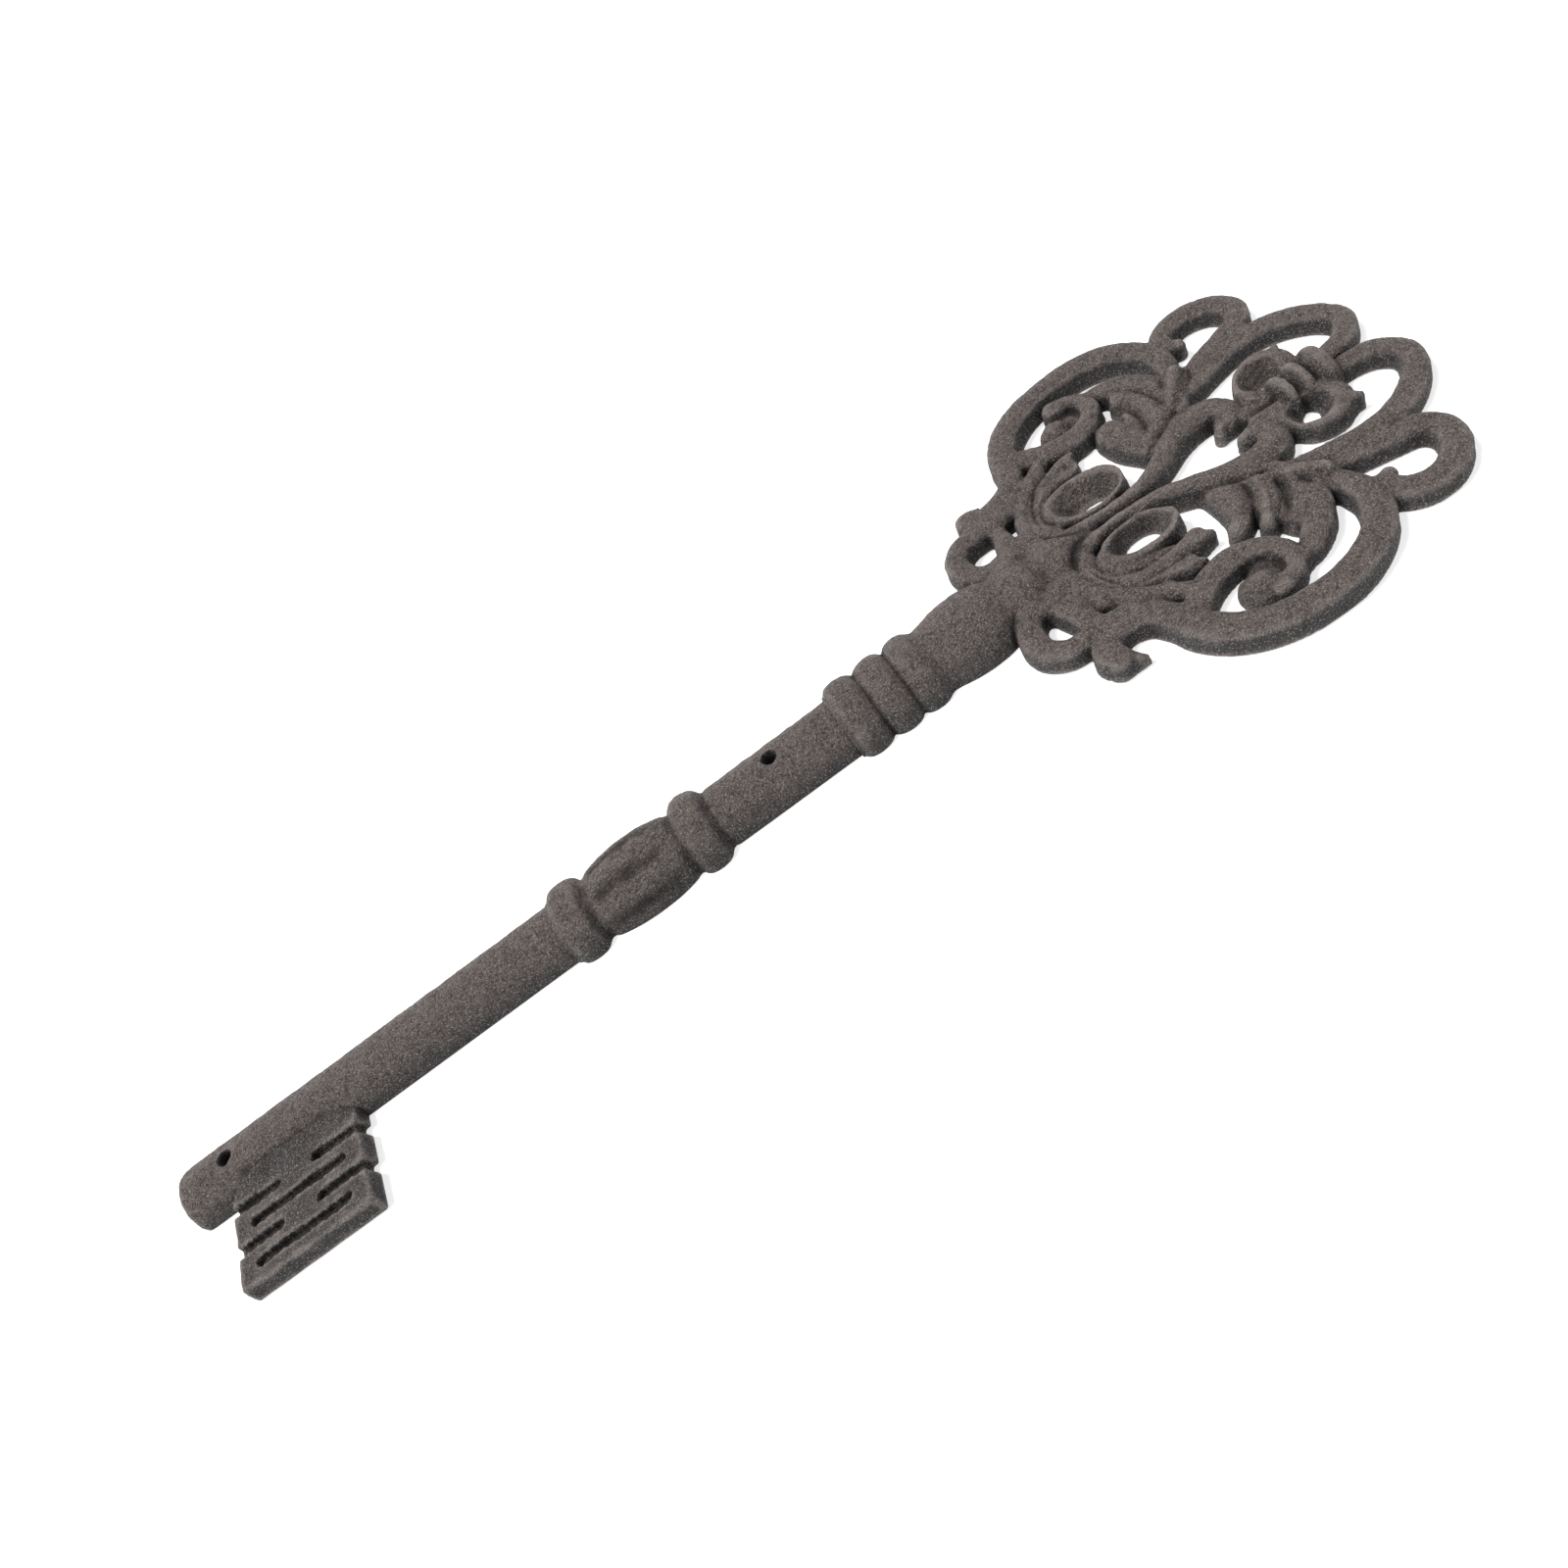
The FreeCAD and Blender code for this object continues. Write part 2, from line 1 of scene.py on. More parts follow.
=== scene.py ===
# %% [markdown]
# A decorative skeleton key, cast in iron with a flat back
#
# The real thing is one sand casting: a half-round shank with turned-looking mouldings, a slotted
# bit on one side and a bow of leafy scrolls. The engineering model has it as 43 named pieces that
# meet face to face, and this lesson gives each of them its finished shape and its iron skin.
# Every length in this file is a millimetre until a mesh is made, because a maker thinks of a key
# that way, and a mesh is written in metres.

# %% Load the frame and keep its box
import math
import bpy
import numpy as np
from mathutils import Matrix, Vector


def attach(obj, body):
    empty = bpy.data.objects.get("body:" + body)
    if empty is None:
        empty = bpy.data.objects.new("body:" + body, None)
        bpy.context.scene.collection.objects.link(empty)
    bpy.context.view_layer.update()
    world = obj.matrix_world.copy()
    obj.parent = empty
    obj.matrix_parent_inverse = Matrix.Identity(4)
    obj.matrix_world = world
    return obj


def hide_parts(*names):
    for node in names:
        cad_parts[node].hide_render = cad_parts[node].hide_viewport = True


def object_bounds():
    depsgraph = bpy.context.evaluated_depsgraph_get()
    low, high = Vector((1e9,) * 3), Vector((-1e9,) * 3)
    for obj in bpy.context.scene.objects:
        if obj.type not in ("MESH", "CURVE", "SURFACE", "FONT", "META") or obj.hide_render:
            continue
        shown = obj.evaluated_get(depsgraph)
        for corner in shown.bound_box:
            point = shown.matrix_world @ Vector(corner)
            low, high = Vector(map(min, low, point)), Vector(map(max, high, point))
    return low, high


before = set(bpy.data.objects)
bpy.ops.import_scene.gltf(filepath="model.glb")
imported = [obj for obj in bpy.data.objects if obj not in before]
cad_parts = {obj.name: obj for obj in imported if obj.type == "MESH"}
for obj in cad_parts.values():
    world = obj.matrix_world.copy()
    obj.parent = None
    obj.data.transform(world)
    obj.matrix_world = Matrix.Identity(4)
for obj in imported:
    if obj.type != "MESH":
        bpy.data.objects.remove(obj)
import openvdb
from mathutils import Matrix, Vector

cad_low, cad_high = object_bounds()
MM = 0.001
print("nodes:", len(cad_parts), "box:", [round(v / MM, 1) for v in cad_high - cad_low])

# %% [markdown]
# A ruler along the key
#
# All places are read off one ruler along the key, whose zero lies 2 mm inside the tip. The key
# itself is centred on the frame's origin, so a place on the ruler turns into X by one subtraction.
# Y is the distance from the key's axis and Z the height over the flat back.

# %% The ruler
RULER_ZERO = 171.1


def to_x(ruler):
    return np.asarray(ruler) - RULER_ZERO


print("tip at", float(to_x(-2.0)), "end of the bow at", float(to_x(344.2)))

# %% [markdown]
# A bench for nodes
#
# Both Geometry Nodes and shaders are graphs, and a graph written socket by socket is hard to read.
# Two small classes help. A Wire is an output that can stand in a Python sum: each operator adds
# its Math node. A Bench makes any other node from its type, its settings and its inputs.

# %% Wires and a bench
class Wire:
    """An output socket that Python sums can use."""
    def __init__(self, bench, socket):
        self.bench, self.socket = bench, socket

    def maths(self, operation, *terms):
        return self.bench.wire("ShaderNodeMath", {"operation": operation}, dict(enumerate(terms)))

    def __add__(self, other):
        return self.maths("ADD", self, other)

    def __sub__(self, other):
        return self.maths("SUBTRACT", self, other)

    def __rsub__(self, other):
        return self.maths("SUBTRACT", other, self)

    def __mul__(self, other):
        return self.maths("MULTIPLY", self, other)

    def __truediv__(self, other):
        return self.maths("DIVIDE", self, other)

    def __rtruediv__(self, other):
        return self.maths("DIVIDE", other, self)

    def __pow__(self, other):
        return self.maths("POWER", self, other)

    __radd__, __rmul__ = __add__, __mul__


class Bench:
    """Makes and links the nodes of one tree."""
    def __init__(self, tree):
        self.tree = tree

    def add(self, kind, settings=None, inputs=None):
        node = self.tree.nodes.new(kind)
        for name, value in (settings or {}).items():
            setattr(node, name, value)
        for name, value in (inputs or {}).items():
            if isinstance(value, Wire):
                self.tree.links.new(value.socket, node.inputs[name])
            else:
                node.inputs[name].default_value = value
        return node

    def wire(self, kind, settings=None, inputs=None, output=0):
        return Wire(self, self.add(kind, settings, inputs).outputs[output])

    def span(self, value, low, high):
        """Rises softly from 0, where the value is low, to 1, where it is high."""
        return self.wire("ShaderNodeMapRange", {"interpolation_type": "SMOOTHSTEP"},
                         {0: value, 1: low, 2: high})


print("bench ready")

# %% [markdown]
# Geometry Nodes as tools of the shop
#
# Two trees are enough for this key. One turns a moulding from a line of stations, and one gives
# any piece its cast skin. Each is built once, with named inputs, and a helper runs a tree on an
# object: it sets the inputs by their identifiers before anything is evaluated, reads the result
# as a plain mesh and takes the modifier away again.

# %% Making and running a tree
def new_tree(name, kinds):
    """An empty tree with a geometry input and named inputs of the given kinds."""
    tree = bpy.data.node_groups.new(name, "GeometryNodeTree")
    tree.interface.new_socket("Geometry", in_out="OUTPUT", socket_type="NodeSocketGeometry")
    for label, kind in {"Geometry": "Geometry", **kinds}.items():
        tree.interface.new_socket(label, in_out="INPUT", socket_type=f"NodeSocket{kind}")
    bench = Bench(tree)
    entry = bench.add("NodeGroupInput")
    given = {socket.name: Wire(bench, socket) for socket in entry.outputs if socket.name}
    return tree, bench, given


def close_tree(bench, geometry, iron):
    real = bench.wire("GeometryNodeRealizeInstances", {}, {"Geometry": geometry})
    done = bench.wire("GeometryNodeSetMaterial", {}, {"Geometry": real, "Material": iron})
    bench.add("NodeGroupOutput", {}, {"Geometry": done})


def bake(piece):
    """Makes what the piece's modifiers show its own plain mesh."""
    seen = piece.evaluated_get(bpy.context.evaluated_depsgraph_get())
    mesh = bpy.data.meshes.new_from_object(seen)
    piece.modifiers.clear()
    old, piece.data = piece.data, mesh
    bpy.data.meshes.remove(old)
    return piece


def run_tree(piece, tree, values):
    step = piece.modifiers.new(tree.name, "NODES")
    step.node_group = tree
    for item in tree.interface.items_tree:
        if item.item_type == "SOCKET" and item.in_out == "INPUT" and item.name in values:
            step[item.identifier] = values[item.name]
    return bake(piece)


print("tree helpers ready")

# %% [markdown]
# The iron
#
# Old sand-cast iron has no single colour. Here the faces that look up get a painted top light,
# a warmer brown grey, and the walls a painted shade, a cooler grey. Painted shade darkens the
# hollows, proud edges get wear with a painted highlight, and the sand leaves a fine grain with
# painted glints.
# The material reads two numbers that the pieces carry, "hollow" and "crown", and lays noise of
# several sizes over them in Object coordinates, so nothing slides when the key is turned.

# %% The iron material
# Scale, detail and roughness of each noise. A scale of 1000 gives grains of about a millimetre.
NOISES = [(55, 3, 0.5), (260, 4, 0.6), (780, 2, 0.6), (1800, 3, 0.7), (2700, 2, 0.6)]
# The walls are painted in shade and the tops in painted light
SHADED_WALL_TONE, LIT_TOP_TONE = (0.056, 0.055, 0.056, 1), (0.190, 0.155, 0.142, 1)
# A random stain, and painted shade for the hollows
STAIN_TONE, HOLLOW_SHADE_TONE = (0.090, 0.077, 0.072, 1), (0.020, 0.017, 0.016, 1)
SAND_TONE, PIT_TONE = (0.050, 0.043, 0.040, 1), (0.024, 0.021, 0.020, 1)
# Wear with a painted highlight for proud edges, and painted glints for bright specks
WEAR_AND_HIGHLIGHT_TONE, GLINT_TONE = (0.33, 0.29, 0.27, 1), (0.40, 0.365, 0.345, 1)
BUMP_DEPTH = 0.0012


def cast_iron_material():
    iron = bpy.data.materials.new("cast_iron")
    iron.use_nodes = True
    iron.node_tree.nodes.clear()
    bench = Bench(iron.node_tree)
    place = bench.wire("ShaderNodeTexCoord", {}, {}, "Object")
    hollow, crown = (bench.wire("ShaderNodeAttribute", {"attribute_name": name}, {}, "Fac")
                     for name in ("hollow", "crown"))
    broad, patch, sand, fine, speck = (
        bench.wire("ShaderNodeTexNoise", {}, {
            "Vector": place, "Scale": scale, "Detail": detail, "Roughness": rough})
        for scale, detail, rough in NOISES)

    # Painted top light: up-facing faces painted lighter and warmer, mixed with broad random tone
    top_light_and_tone = bench.span(crown * 0.8 + broad * 0.5, 0.30, 1.05)
    # Painted shade in the hollows, broken by random patches; the same mask makes them rougher
    painted_hollow_shade = bench.span(hollow + (patch - 0.5) * 0.22, 0.48, 0.72)
    # Wear on proud edges, painted lighter as a painted highlight, also made more metallic
    wear_and_highlight = bench.span(0.5 - hollow, 0.03, 0.18) * bench.span(fine + patch * 0.4, 0.45, 0.80)
    # Painted glints on bright specks, fewer in the painted shade of the hollows
    glint = bench.span(speck, 0.56, 0.63) * (1.0 - painted_hollow_shade * 0.8)
    tone = SHADED_WALL_TONE
    for amount, colour in (
            (top_light_and_tone, LIT_TOP_TONE), (bench.span(patch, 0.42, 0.62) * 0.35, STAIN_TONE),
            (painted_hollow_shade * 0.88, HOLLOW_SHADE_TONE), (bench.span(sand, 0.50, 0.62) * 0.56, SAND_TONE),
            (bench.span(fine, 0.48, 0.59) * 0.64, PIT_TONE), (wear_and_highlight * 0.75, WEAR_AND_HIGHLIGHT_TONE),
            (glint * 0.7, GLINT_TONE)):
        tone = bench.wire("ShaderNodeMix", {"data_type": "RGBA"},
                          {0: amount, 6: tone, 7: colour}, 2)

    height = fine * -0.7 + speck * 0.35 + patch * 0.4 - sand * 0.5
    bump = bench.wire("ShaderNodeBump", {}, {
        "Strength": 1.0, "Distance": BUMP_DEPTH, "Height": height})
    surface = bench.wire("ShaderNodeBsdfPrincipled", {}, {
        "Base Color": tone, "Roughness": 0.66 + painted_hollow_shade * 0.25 - glint * 0.25,
        "Metallic": 0.2 + wear_and_highlight * 0.25, "Normal": bump, "Specular IOR Level": 0.3})
    bench.add("ShaderNodeOutputMaterial", {}, {"Surface": surface})
    return iron


IRON = cast_iron_material()
print("iron:", len(IRON.node_tree.nodes), "nodes")

# %% [markdown]
# The cast skin
#
# Sand leaves lumps a few millimetres wide and pits under a millimetre. The pits are the material's
# work, because they are too small for a mesh, but the lumps change the outline and belong in the
# shape. This tree moves every point along its normal by noise read at the point's own place, so
# two pieces that meet there move alike. The flat back rests on the wall and stays flat.

# %% The cast skin tree
SKIN_SIZES = {"Lump Size": 3.4, "Lump Depth": 0.3, "Grain Size": 1.1, "Grain Depth": 0.16,
              "Seed": 7.0}
SKIN_DETAIL = 2.0
BACK_BELOW, FREE_ABOVE = 0.05, 0.8


def skin_tree():
    kinds = {**dict.fromkeys(SKIN_SIZES, "Float"), "Iron": "Material"}
    tree, bench, given = new_tree("Cast skin", kinds)
    place = bench.wire("GeometryNodeInputPosition")
    normal = bench.wire("GeometryNodeInputNormal")
    height = bench.wire("ShaderNodeSeparateXYZ", {}, {0: place}, 2)
    free = bench.span(height / MM, BACK_BELOW, FREE_ABOVE)

    def rough(size, depth):
        noise = bench.wire("ShaderNodeTexNoise", {"noise_dimensions": "4D"}, {
            "Vector": place, "W": given["Seed"], "Scale": (1.0 / MM) / given[size],
            "Detail": SKIN_DETAIL})
        return (noise - 0.5) * given[depth]

    rise = rough("Lump Size", "Lump Depth") + rough("Grain Size", "Grain Depth")
    push = bench.wire("ShaderNodeVectorMath", {"operation": "SCALE"},
                      {0: normal, 3: rise * 2.0 * MM * free})
    moved = bench.wire("GeometryNodeSetPosition", {}, {
        "Geometry": given["Geometry"], "Offset": push})
    close_tree(bench, moved, given["Iron"])
    return tree


SKIN = skin_tree()
print("skin:", len(SKIN.nodes), "nodes")

# %% [markdown]
# The stem's outline
#
# From the tip to the bow the key is one turned-looking outline: a plain shank, a collar like a
# ring, a fluted baluster, a second collar, shank again, three soft rings and the neck. A maker
# would cut it in a template. Here the template is a table of places and radii, and a smooth curve
# runs through them. Rings with a rounded crest and a narrow groove need their points close.

# %% The stem's template
# Places on the ruler and radii
STEM = np.array([
    (-2, 7.3), (-1.6, 8), (-1, 8.5), (0, 8.8), (2, 8.9), (60, 8.85), (110.6, 8.85), (111.6, 9.1),
    (112.3, 9.9), (113.2, 10.8), (114.6, 11.35), (116.5, 11.5), (118.4, 11.3), (119.7, 10.7),
    (120.5, 9.7), (121.3, 8.95), (122, 8.95), (123.2, 9.7), (126.2, 10.5), (130, 11.1),
    (134.4, 11.35), (139, 11.2), (143, 10.6), (145.8, 9.8), (147, 9.2), (147.7, 9.2),
    (148.4, 10.2), (149.8, 11.2), (152, 11.55), (154, 11.3), (155.6, 10.4), (156.4, 9.2),
    (157.2, 8.45), (158.8, 8.8), (175, 8.85), (192, 8.85), (193.2, 8.9), (194, 10.1),
    (195.2, 11.2), (197.4, 11.65), (199.6, 11.4), (201.3, 10.6), (202.2, 9.85), (203.1, 10.6),
    (204.6, 11.3), (206.4, 11.55), (208.2, 11.3), (209.7, 10.6), (210.6, 9.85), (211.5, 10.6),
    (213, 11.25), (214.8, 11.4), (216.6, 11.05), (218.1, 10.2), (219.2, 9.75), (220.6, 9.9),
    (223, 10.45), (226, 11), (229.5, 11.25), (233, 11.1), (236.5, 10.4), (238.8, 9.5),
    (239.9, 9.2), (241.2, 9.6), (243.4, 10.5), (245.6, 10.5), (247.6, 9.6), (249.2, 8.4),
    (250.4, 8.1), (252.6, 8.5), (255.6, 8.9), (259, 8.3), (262.4, 6.9), (266, 4.9), (270, 2.5)])


def stem_radius(ruler):
    """Radius of the stem: a cubic through the template whose slopes never overshoot."""
    x, r = STEM[:, 0], STEM[:, 1]
    run, rise = np.diff(x), np.diff(r) / np.diff(x)
    slope = np.zeros(len(x))
    same = rise[:-1] * rise[1:] > 0
    slope[1:-1][same] = 2 * rise[:-1][same] * rise[1:][same] / (rise[:-1] + rise[1:])[same]
    slope[0], slope[-1] = rise[0], rise[-1]
    i = np.clip(np.searchsorted(x, ruler) - 1, 0, len(x) - 2)
    t = np.clip((ruler - x[i]) / run[i], 0, 1)
    return (r[i] * (1 + 2 * t) * (1 - t) ** 2 + slope[i] * run[i] * t * (1 - t) ** 2
            + r[i + 1] * t * t * (3 - 2 * t) + slope[i + 1] * run[i] * t * t * (t - 1))


print("stem widest at", round(float(STEM[:, 1].max()), 2), "mm")

# %% [markdown]
# Turning a moulding
#
# A revolve could be done by Spin, by a Screw modifier or by hand. A station line with a radius on
# every point, swept by a half disc, keeps the outline in one table and gives a closed body with a
# flat back at once. The same tree presses the baluster's broad flutes, which fade out along it.

# %% The turning tree
FLUTE_FADE_IN, FLUTE_FADE_OUT, FLUTE_NARROWING = 4, 9, 1.8


def turning_tree():
    tree, bench, given = new_tree("Turned moulding", {
        "Facets": "Int", "Flute Depth": "Float", "Flute Spacing": "Float",
        "Flute Start": "Float", "Flute End": "Float", "Iron": "Material"})
    line = bench.wire("GeometryNodeMeshToCurve", {}, {"Mesh": given["Geometry"]})
    upright = bench.wire("GeometryNodeSetCurveNormal", {"mode": "Z_UP"}, {"Curve": line})
    radius = bench.wire("GeometryNodeInputNamedAttribute", {"data_type": "FLOAT"},
                        {"Name": "radius"})
    half_disc = bench.wire("GeometryNodeCurveArc", {"mode": "RADIUS"}, {
        "Resolution": given["Facets"], "Radius": 1.0, "Start Angle": math.pi,
        "Sweep Angle": math.pi, "Connect Center": True})
    body = bench.wire("GeometryNodeCurveToMesh", {}, {
        "Curve": upright, "Profile Curve": half_disc, "Scale": radius, "Fill Caps": True})

    place = bench.wire("GeometryNodeInputPosition")
    parts = bench.add("ShaderNodeSeparateXYZ", {}, {0: place})
    x, y, z = (Wire(bench, socket) for socket in parts.outputs)
    turns = y.maths("ARCTAN2", y, z) / given["Flute Spacing"] - 0.5
    wave = turns.maths("COSINE", turns * math.tau)
    channel = (wave * 0.5 + 0.5) ** FLUTE_NARROWING
    first, last = given["Flute Start"], given["Flute End"]
    fade_in = bench.span(x, first, first + FLUTE_FADE_IN * MM)
    fade_out = bench.span(x, last, last - FLUTE_FADE_OUT * MM)
    depth = channel * fade_in * fade_out * given["Flute Depth"] * -1.0
    across = bench.wire("ShaderNodeVectorMath", {"operation": "MULTIPLY"}, {0: place, 1: (0, 1, 1)})
    outward = bench.wire("ShaderNodeVectorMath", {"operation": "NORMALIZE"}, {0: across})
    press = bench.wire("ShaderNodeVectorMath", {"operation": "SCALE"}, {0: outward, 3: depth})
    fluted = bench.wire("GeometryNodeSetPosition", {}, {"Geometry": body, "Offset": press})
    close_tree(bench, fluted, given["Iron"])
    return tree


TURNING = turning_tree()
print("turning:", len(TURNING.nodes), "nodes")

# %% [markdown]
# Finishing any piece
#
# A finished mesh is closed and faces outward, keeps a crisp edge only round its flat back and lies
# inside the engineering box. One helper sees to all of that, so that no piece can miss a step.

# %% Finishing helpers
SHARP_ANGLE = 55


def add_to_scene(label, data):
    thing = bpy.data.objects.new(label, data)
    bpy.context.scene.collection.objects.link(thing)
    return thing


def make_object(label, points, faces, edges=()):
    mesh = bpy.data.meshes.new(label)
    mesh.from_pydata(np.asarray(points).tolist(), list(edges), faces)
    return add_to_scene(label, mesh)


def points_of(mesh):
    flat = np.empty(len(mesh.vertices) * 3, dtype=np.float32)
    mesh.vertices.foreach_get("co", flat)
    return flat.reshape(-1, 3)


def face_outward(mesh):
    """Turns a closed mesh right side out, by the sign of its volume."""
    mesh.calc_loop_triangles()
    corners = np.empty(len(mesh.loop_triangles) * 3, dtype=np.int32)
    mesh.loop_triangles.foreach_get("vertices", corners)
    a, b, c = (points_of(mesh)[corners.reshape(-1, 3)[:, k]].astype(float) for k in range(3))
    if np.einsum("ij,ij->i", a, np.cross(b, c)).sum() < 0:
        mesh.flip_normals()


def finish_mesh(mesh):
    spots = np.clip(points_of(mesh), np.array(cad_low), np.array(cad_high))
    mesh.vertices.foreach_set("co", spots.ravel())
    face_outward(mesh)
    for face in mesh.polygons:
        face.use_smooth = True
    mesh.set_sharp_from_angle(angle=math.radians(SHARP_ANGLE))
    mesh.update()


print("helpers ready")

# %% [markdown]
# Shank, collars, baluster and neck
#
# The turned pieces share one template, cut at the stations where the engineering model divides
# them. Each reaches a little into its neighbour, a hair thinner there, so that no crack shows where
# two of them meet. Only the baluster gets flutes.

# %% The turned pieces
TURNED = {
    "front_shank": (-2.0, 112.0), "front_collar": (112.0, 121.3),
    "fluted_baluster": (121.3, 147.5), "rear_collar": (147.5, 156.8),
    "rear_shank": (156.8, 193.8), "neck_ring_1": (193.8, 202.2), "neck_ring_2": (202.2, 210.6),
    "neck_ring_3": (210.6, 219.0), "neck_baluster": (219.0, 240.0)}
TUCK, SUNK, STATION_GAP = 0.5, 0.12, 0.42
FACETS, FLUTE_DEPTH = 72, 0.46
FLUTES = {"Flute Spacing": math.radians(46), "Flute Start": float(to_x(122.0)) * MM,
          "Flute End": float(to_x(147.5)) * MM}


def turn_piece(node, start, end):
    places = np.linspace(start, end, round((end - start) / STATION_GAP))
    radii = stem_radius(places)
    if node != "front_shank":
        places, radii = np.r_[start - TUCK, places], np.r_[radii[0] - SUNK, radii]
    places, radii = np.r_[places, end + TUCK], np.r_[radii, radii[-1] - SUNK]
    spots = np.zeros((len(places), 3))
    spots[:, 0] = to_x(places) * MM
    piece = make_object(node, spots, [], [(i, i + 1) for i in range(len(spots) - 1)])
    piece.data.attributes.new("radius", "FLOAT", "POINT").data.foreach_set("value", radii * MM)
    depth = FLUTE_DEPTH * MM if node == "fluted_baluster" else 0.0
    return run_tree(piece, TURNING, {
        "Facets": FACETS, "Flute Depth": depth, **FLUTES, "Iron": IRON})


turned_pieces = {node: turn_piece(node, *span) for node, span in TURNED.items()}
print("turned:", {node: len(piece.data.polygons) for node, piece in turned_pieces.items()})

# %% [markdown]
# Screw holes
#
# Two cored holes go through the shank. A core leaves a rough mouth that is a little wider than the
# hole, so the cutter is a rod with flared ends. A Boolean modifier is the plain way to drill.

# %% Drilling the holes
HOLES = {"front_shank": 13.2, "rear_shank": 175.6}
# Height over the back and radius, from below the key to above it
HOLE_PROFILE = [(-1.0, 2.4), (0.5, 1.9), (3.5, 1.6), (6.0, 1.65), (7.6, 1.8), (8.6, 2.1),
                (10.5, 3.2)]
HOLE_SIDES, OUT_OF_ROUND, BURR = 40, 0.035, 0.02


def drill(piece, ruler):
    x, points, faces = float(to_x(ruler)), [], []
    for height, radius in HOLE_PROFILE:
        for k in range(HOLE_SIDES):
            turn = math.tau * k / HOLE_SIDES
            rough = 1 + OUT_OF_ROUND * math.sin(3 * turn + ruler) + BURR * math.sin(7 * turn)
            reach = radius * rough
            spot = (x + reach * math.cos(turn), reach * math.sin(turn), height)
            points.append([value * MM for value in spot])
    for row in range(len(HOLE_PROFILE) - 1):
        for k in range(HOLE_SIDES):
            a, b = row * HOLE_SIDES + k, row * HOLE_SIDES + (k + 1) % HOLE_SIDES
            faces.append((a, b, b + HOLE_SIDES, a + HOLE_SIDES))
    faces.append(tuple(range(HOLE_SIDES))[::-1])
    faces.append(tuple(range(len(points) - HOLE_SIDES, len(points))))
    cutter = make_object("cutter", points, faces)
    cut = piece.modifiers.new("hole", "BOOLEAN")
    cut.object, cut.operation, cut.solver = cutter, "DIFFERENCE", "EXACT"
    bake(piece)
    bpy.data.objects.remove(cutter)


for node, ruler in HOLES.items():
    drill(turned_pieces[node], ruler)
    print(node, "drilled:", len(turned_pieces[node].data.polygons), "faces")

# %% [markdown]
# Shapes as distances
#
# Scrolls that cross, melt into each other and carry carved leaves are hard to build face by face.
# A modeller in clay would lay strands, press grooves and smooth the joints with a thumb. Distance
# fields work the same way: a grid holds, at each point, the distance to the nearest surface. A
# smooth minimum lays clay on, a smooth maximum cuts it, and OpenVDB skins the grid into quads.

# %% A grid and its clay
PITCH = 0.4
GRID_LOW = np.array([-175.5, -56.7, -1.35])
GRID_SIZE = (880, 285, 38)
FAR = 3.0


class Block:
    """A box of the common grid, from a low to a high corner in millimetres."""
    def __init__(self, low, high):
        first = np.floor((np.array(low) - GRID_LOW) / PITCH).astype(int)
        last = np.ceil((np.array(high) - GRID_LOW) / PITCH).astype(int) + 1
        self.first, self.last = np.clip(first, 0, GRID_SIZE), np.clip(last, 0, GRID_SIZE)
        self.slices = tuple(slice(a, b) for a, b in zip(self.first, self.last))
        self.shape = tuple(self.last - self.first)
        self.x, self.y, self.z = np.ix_(*(
            GRID_LOW[k] + PITCH * np.arange(self.first[k], self.last[k]) for k in range(3)))


def smooth_low(a, b, k):
    """The smaller of two distances, with the crease between them filled."""
    near = np.maximum(k - np.abs(a - b), 0) / k
    return np.minimum(a, b) - near * near * k / 4


def smooth_high(a, b, k):
    return -smooth_low(-a, -b, k)


def mesh_from_field(label, field, block):
    padded = np.full([n + 2 for n in field.shape], FAR, dtype=np.float32)
    padded[1:-1, 1:-1, 1:-1] = np.clip(field, -FAR, FAR)
    volume = openvdb.FloatGrid(FAR)
    volume.copyFromArray(padded)
    points, quads = volume.convertToQuads(isovalue=0.0)
    places = (GRID_LOW + PITCH * (points - 1 + block.first)) * MM
    return make_object(label, places, quads[:, ::-1].tolist())


print("grid of", GRID_SIZE, "points,", PITCH, "mm apart")
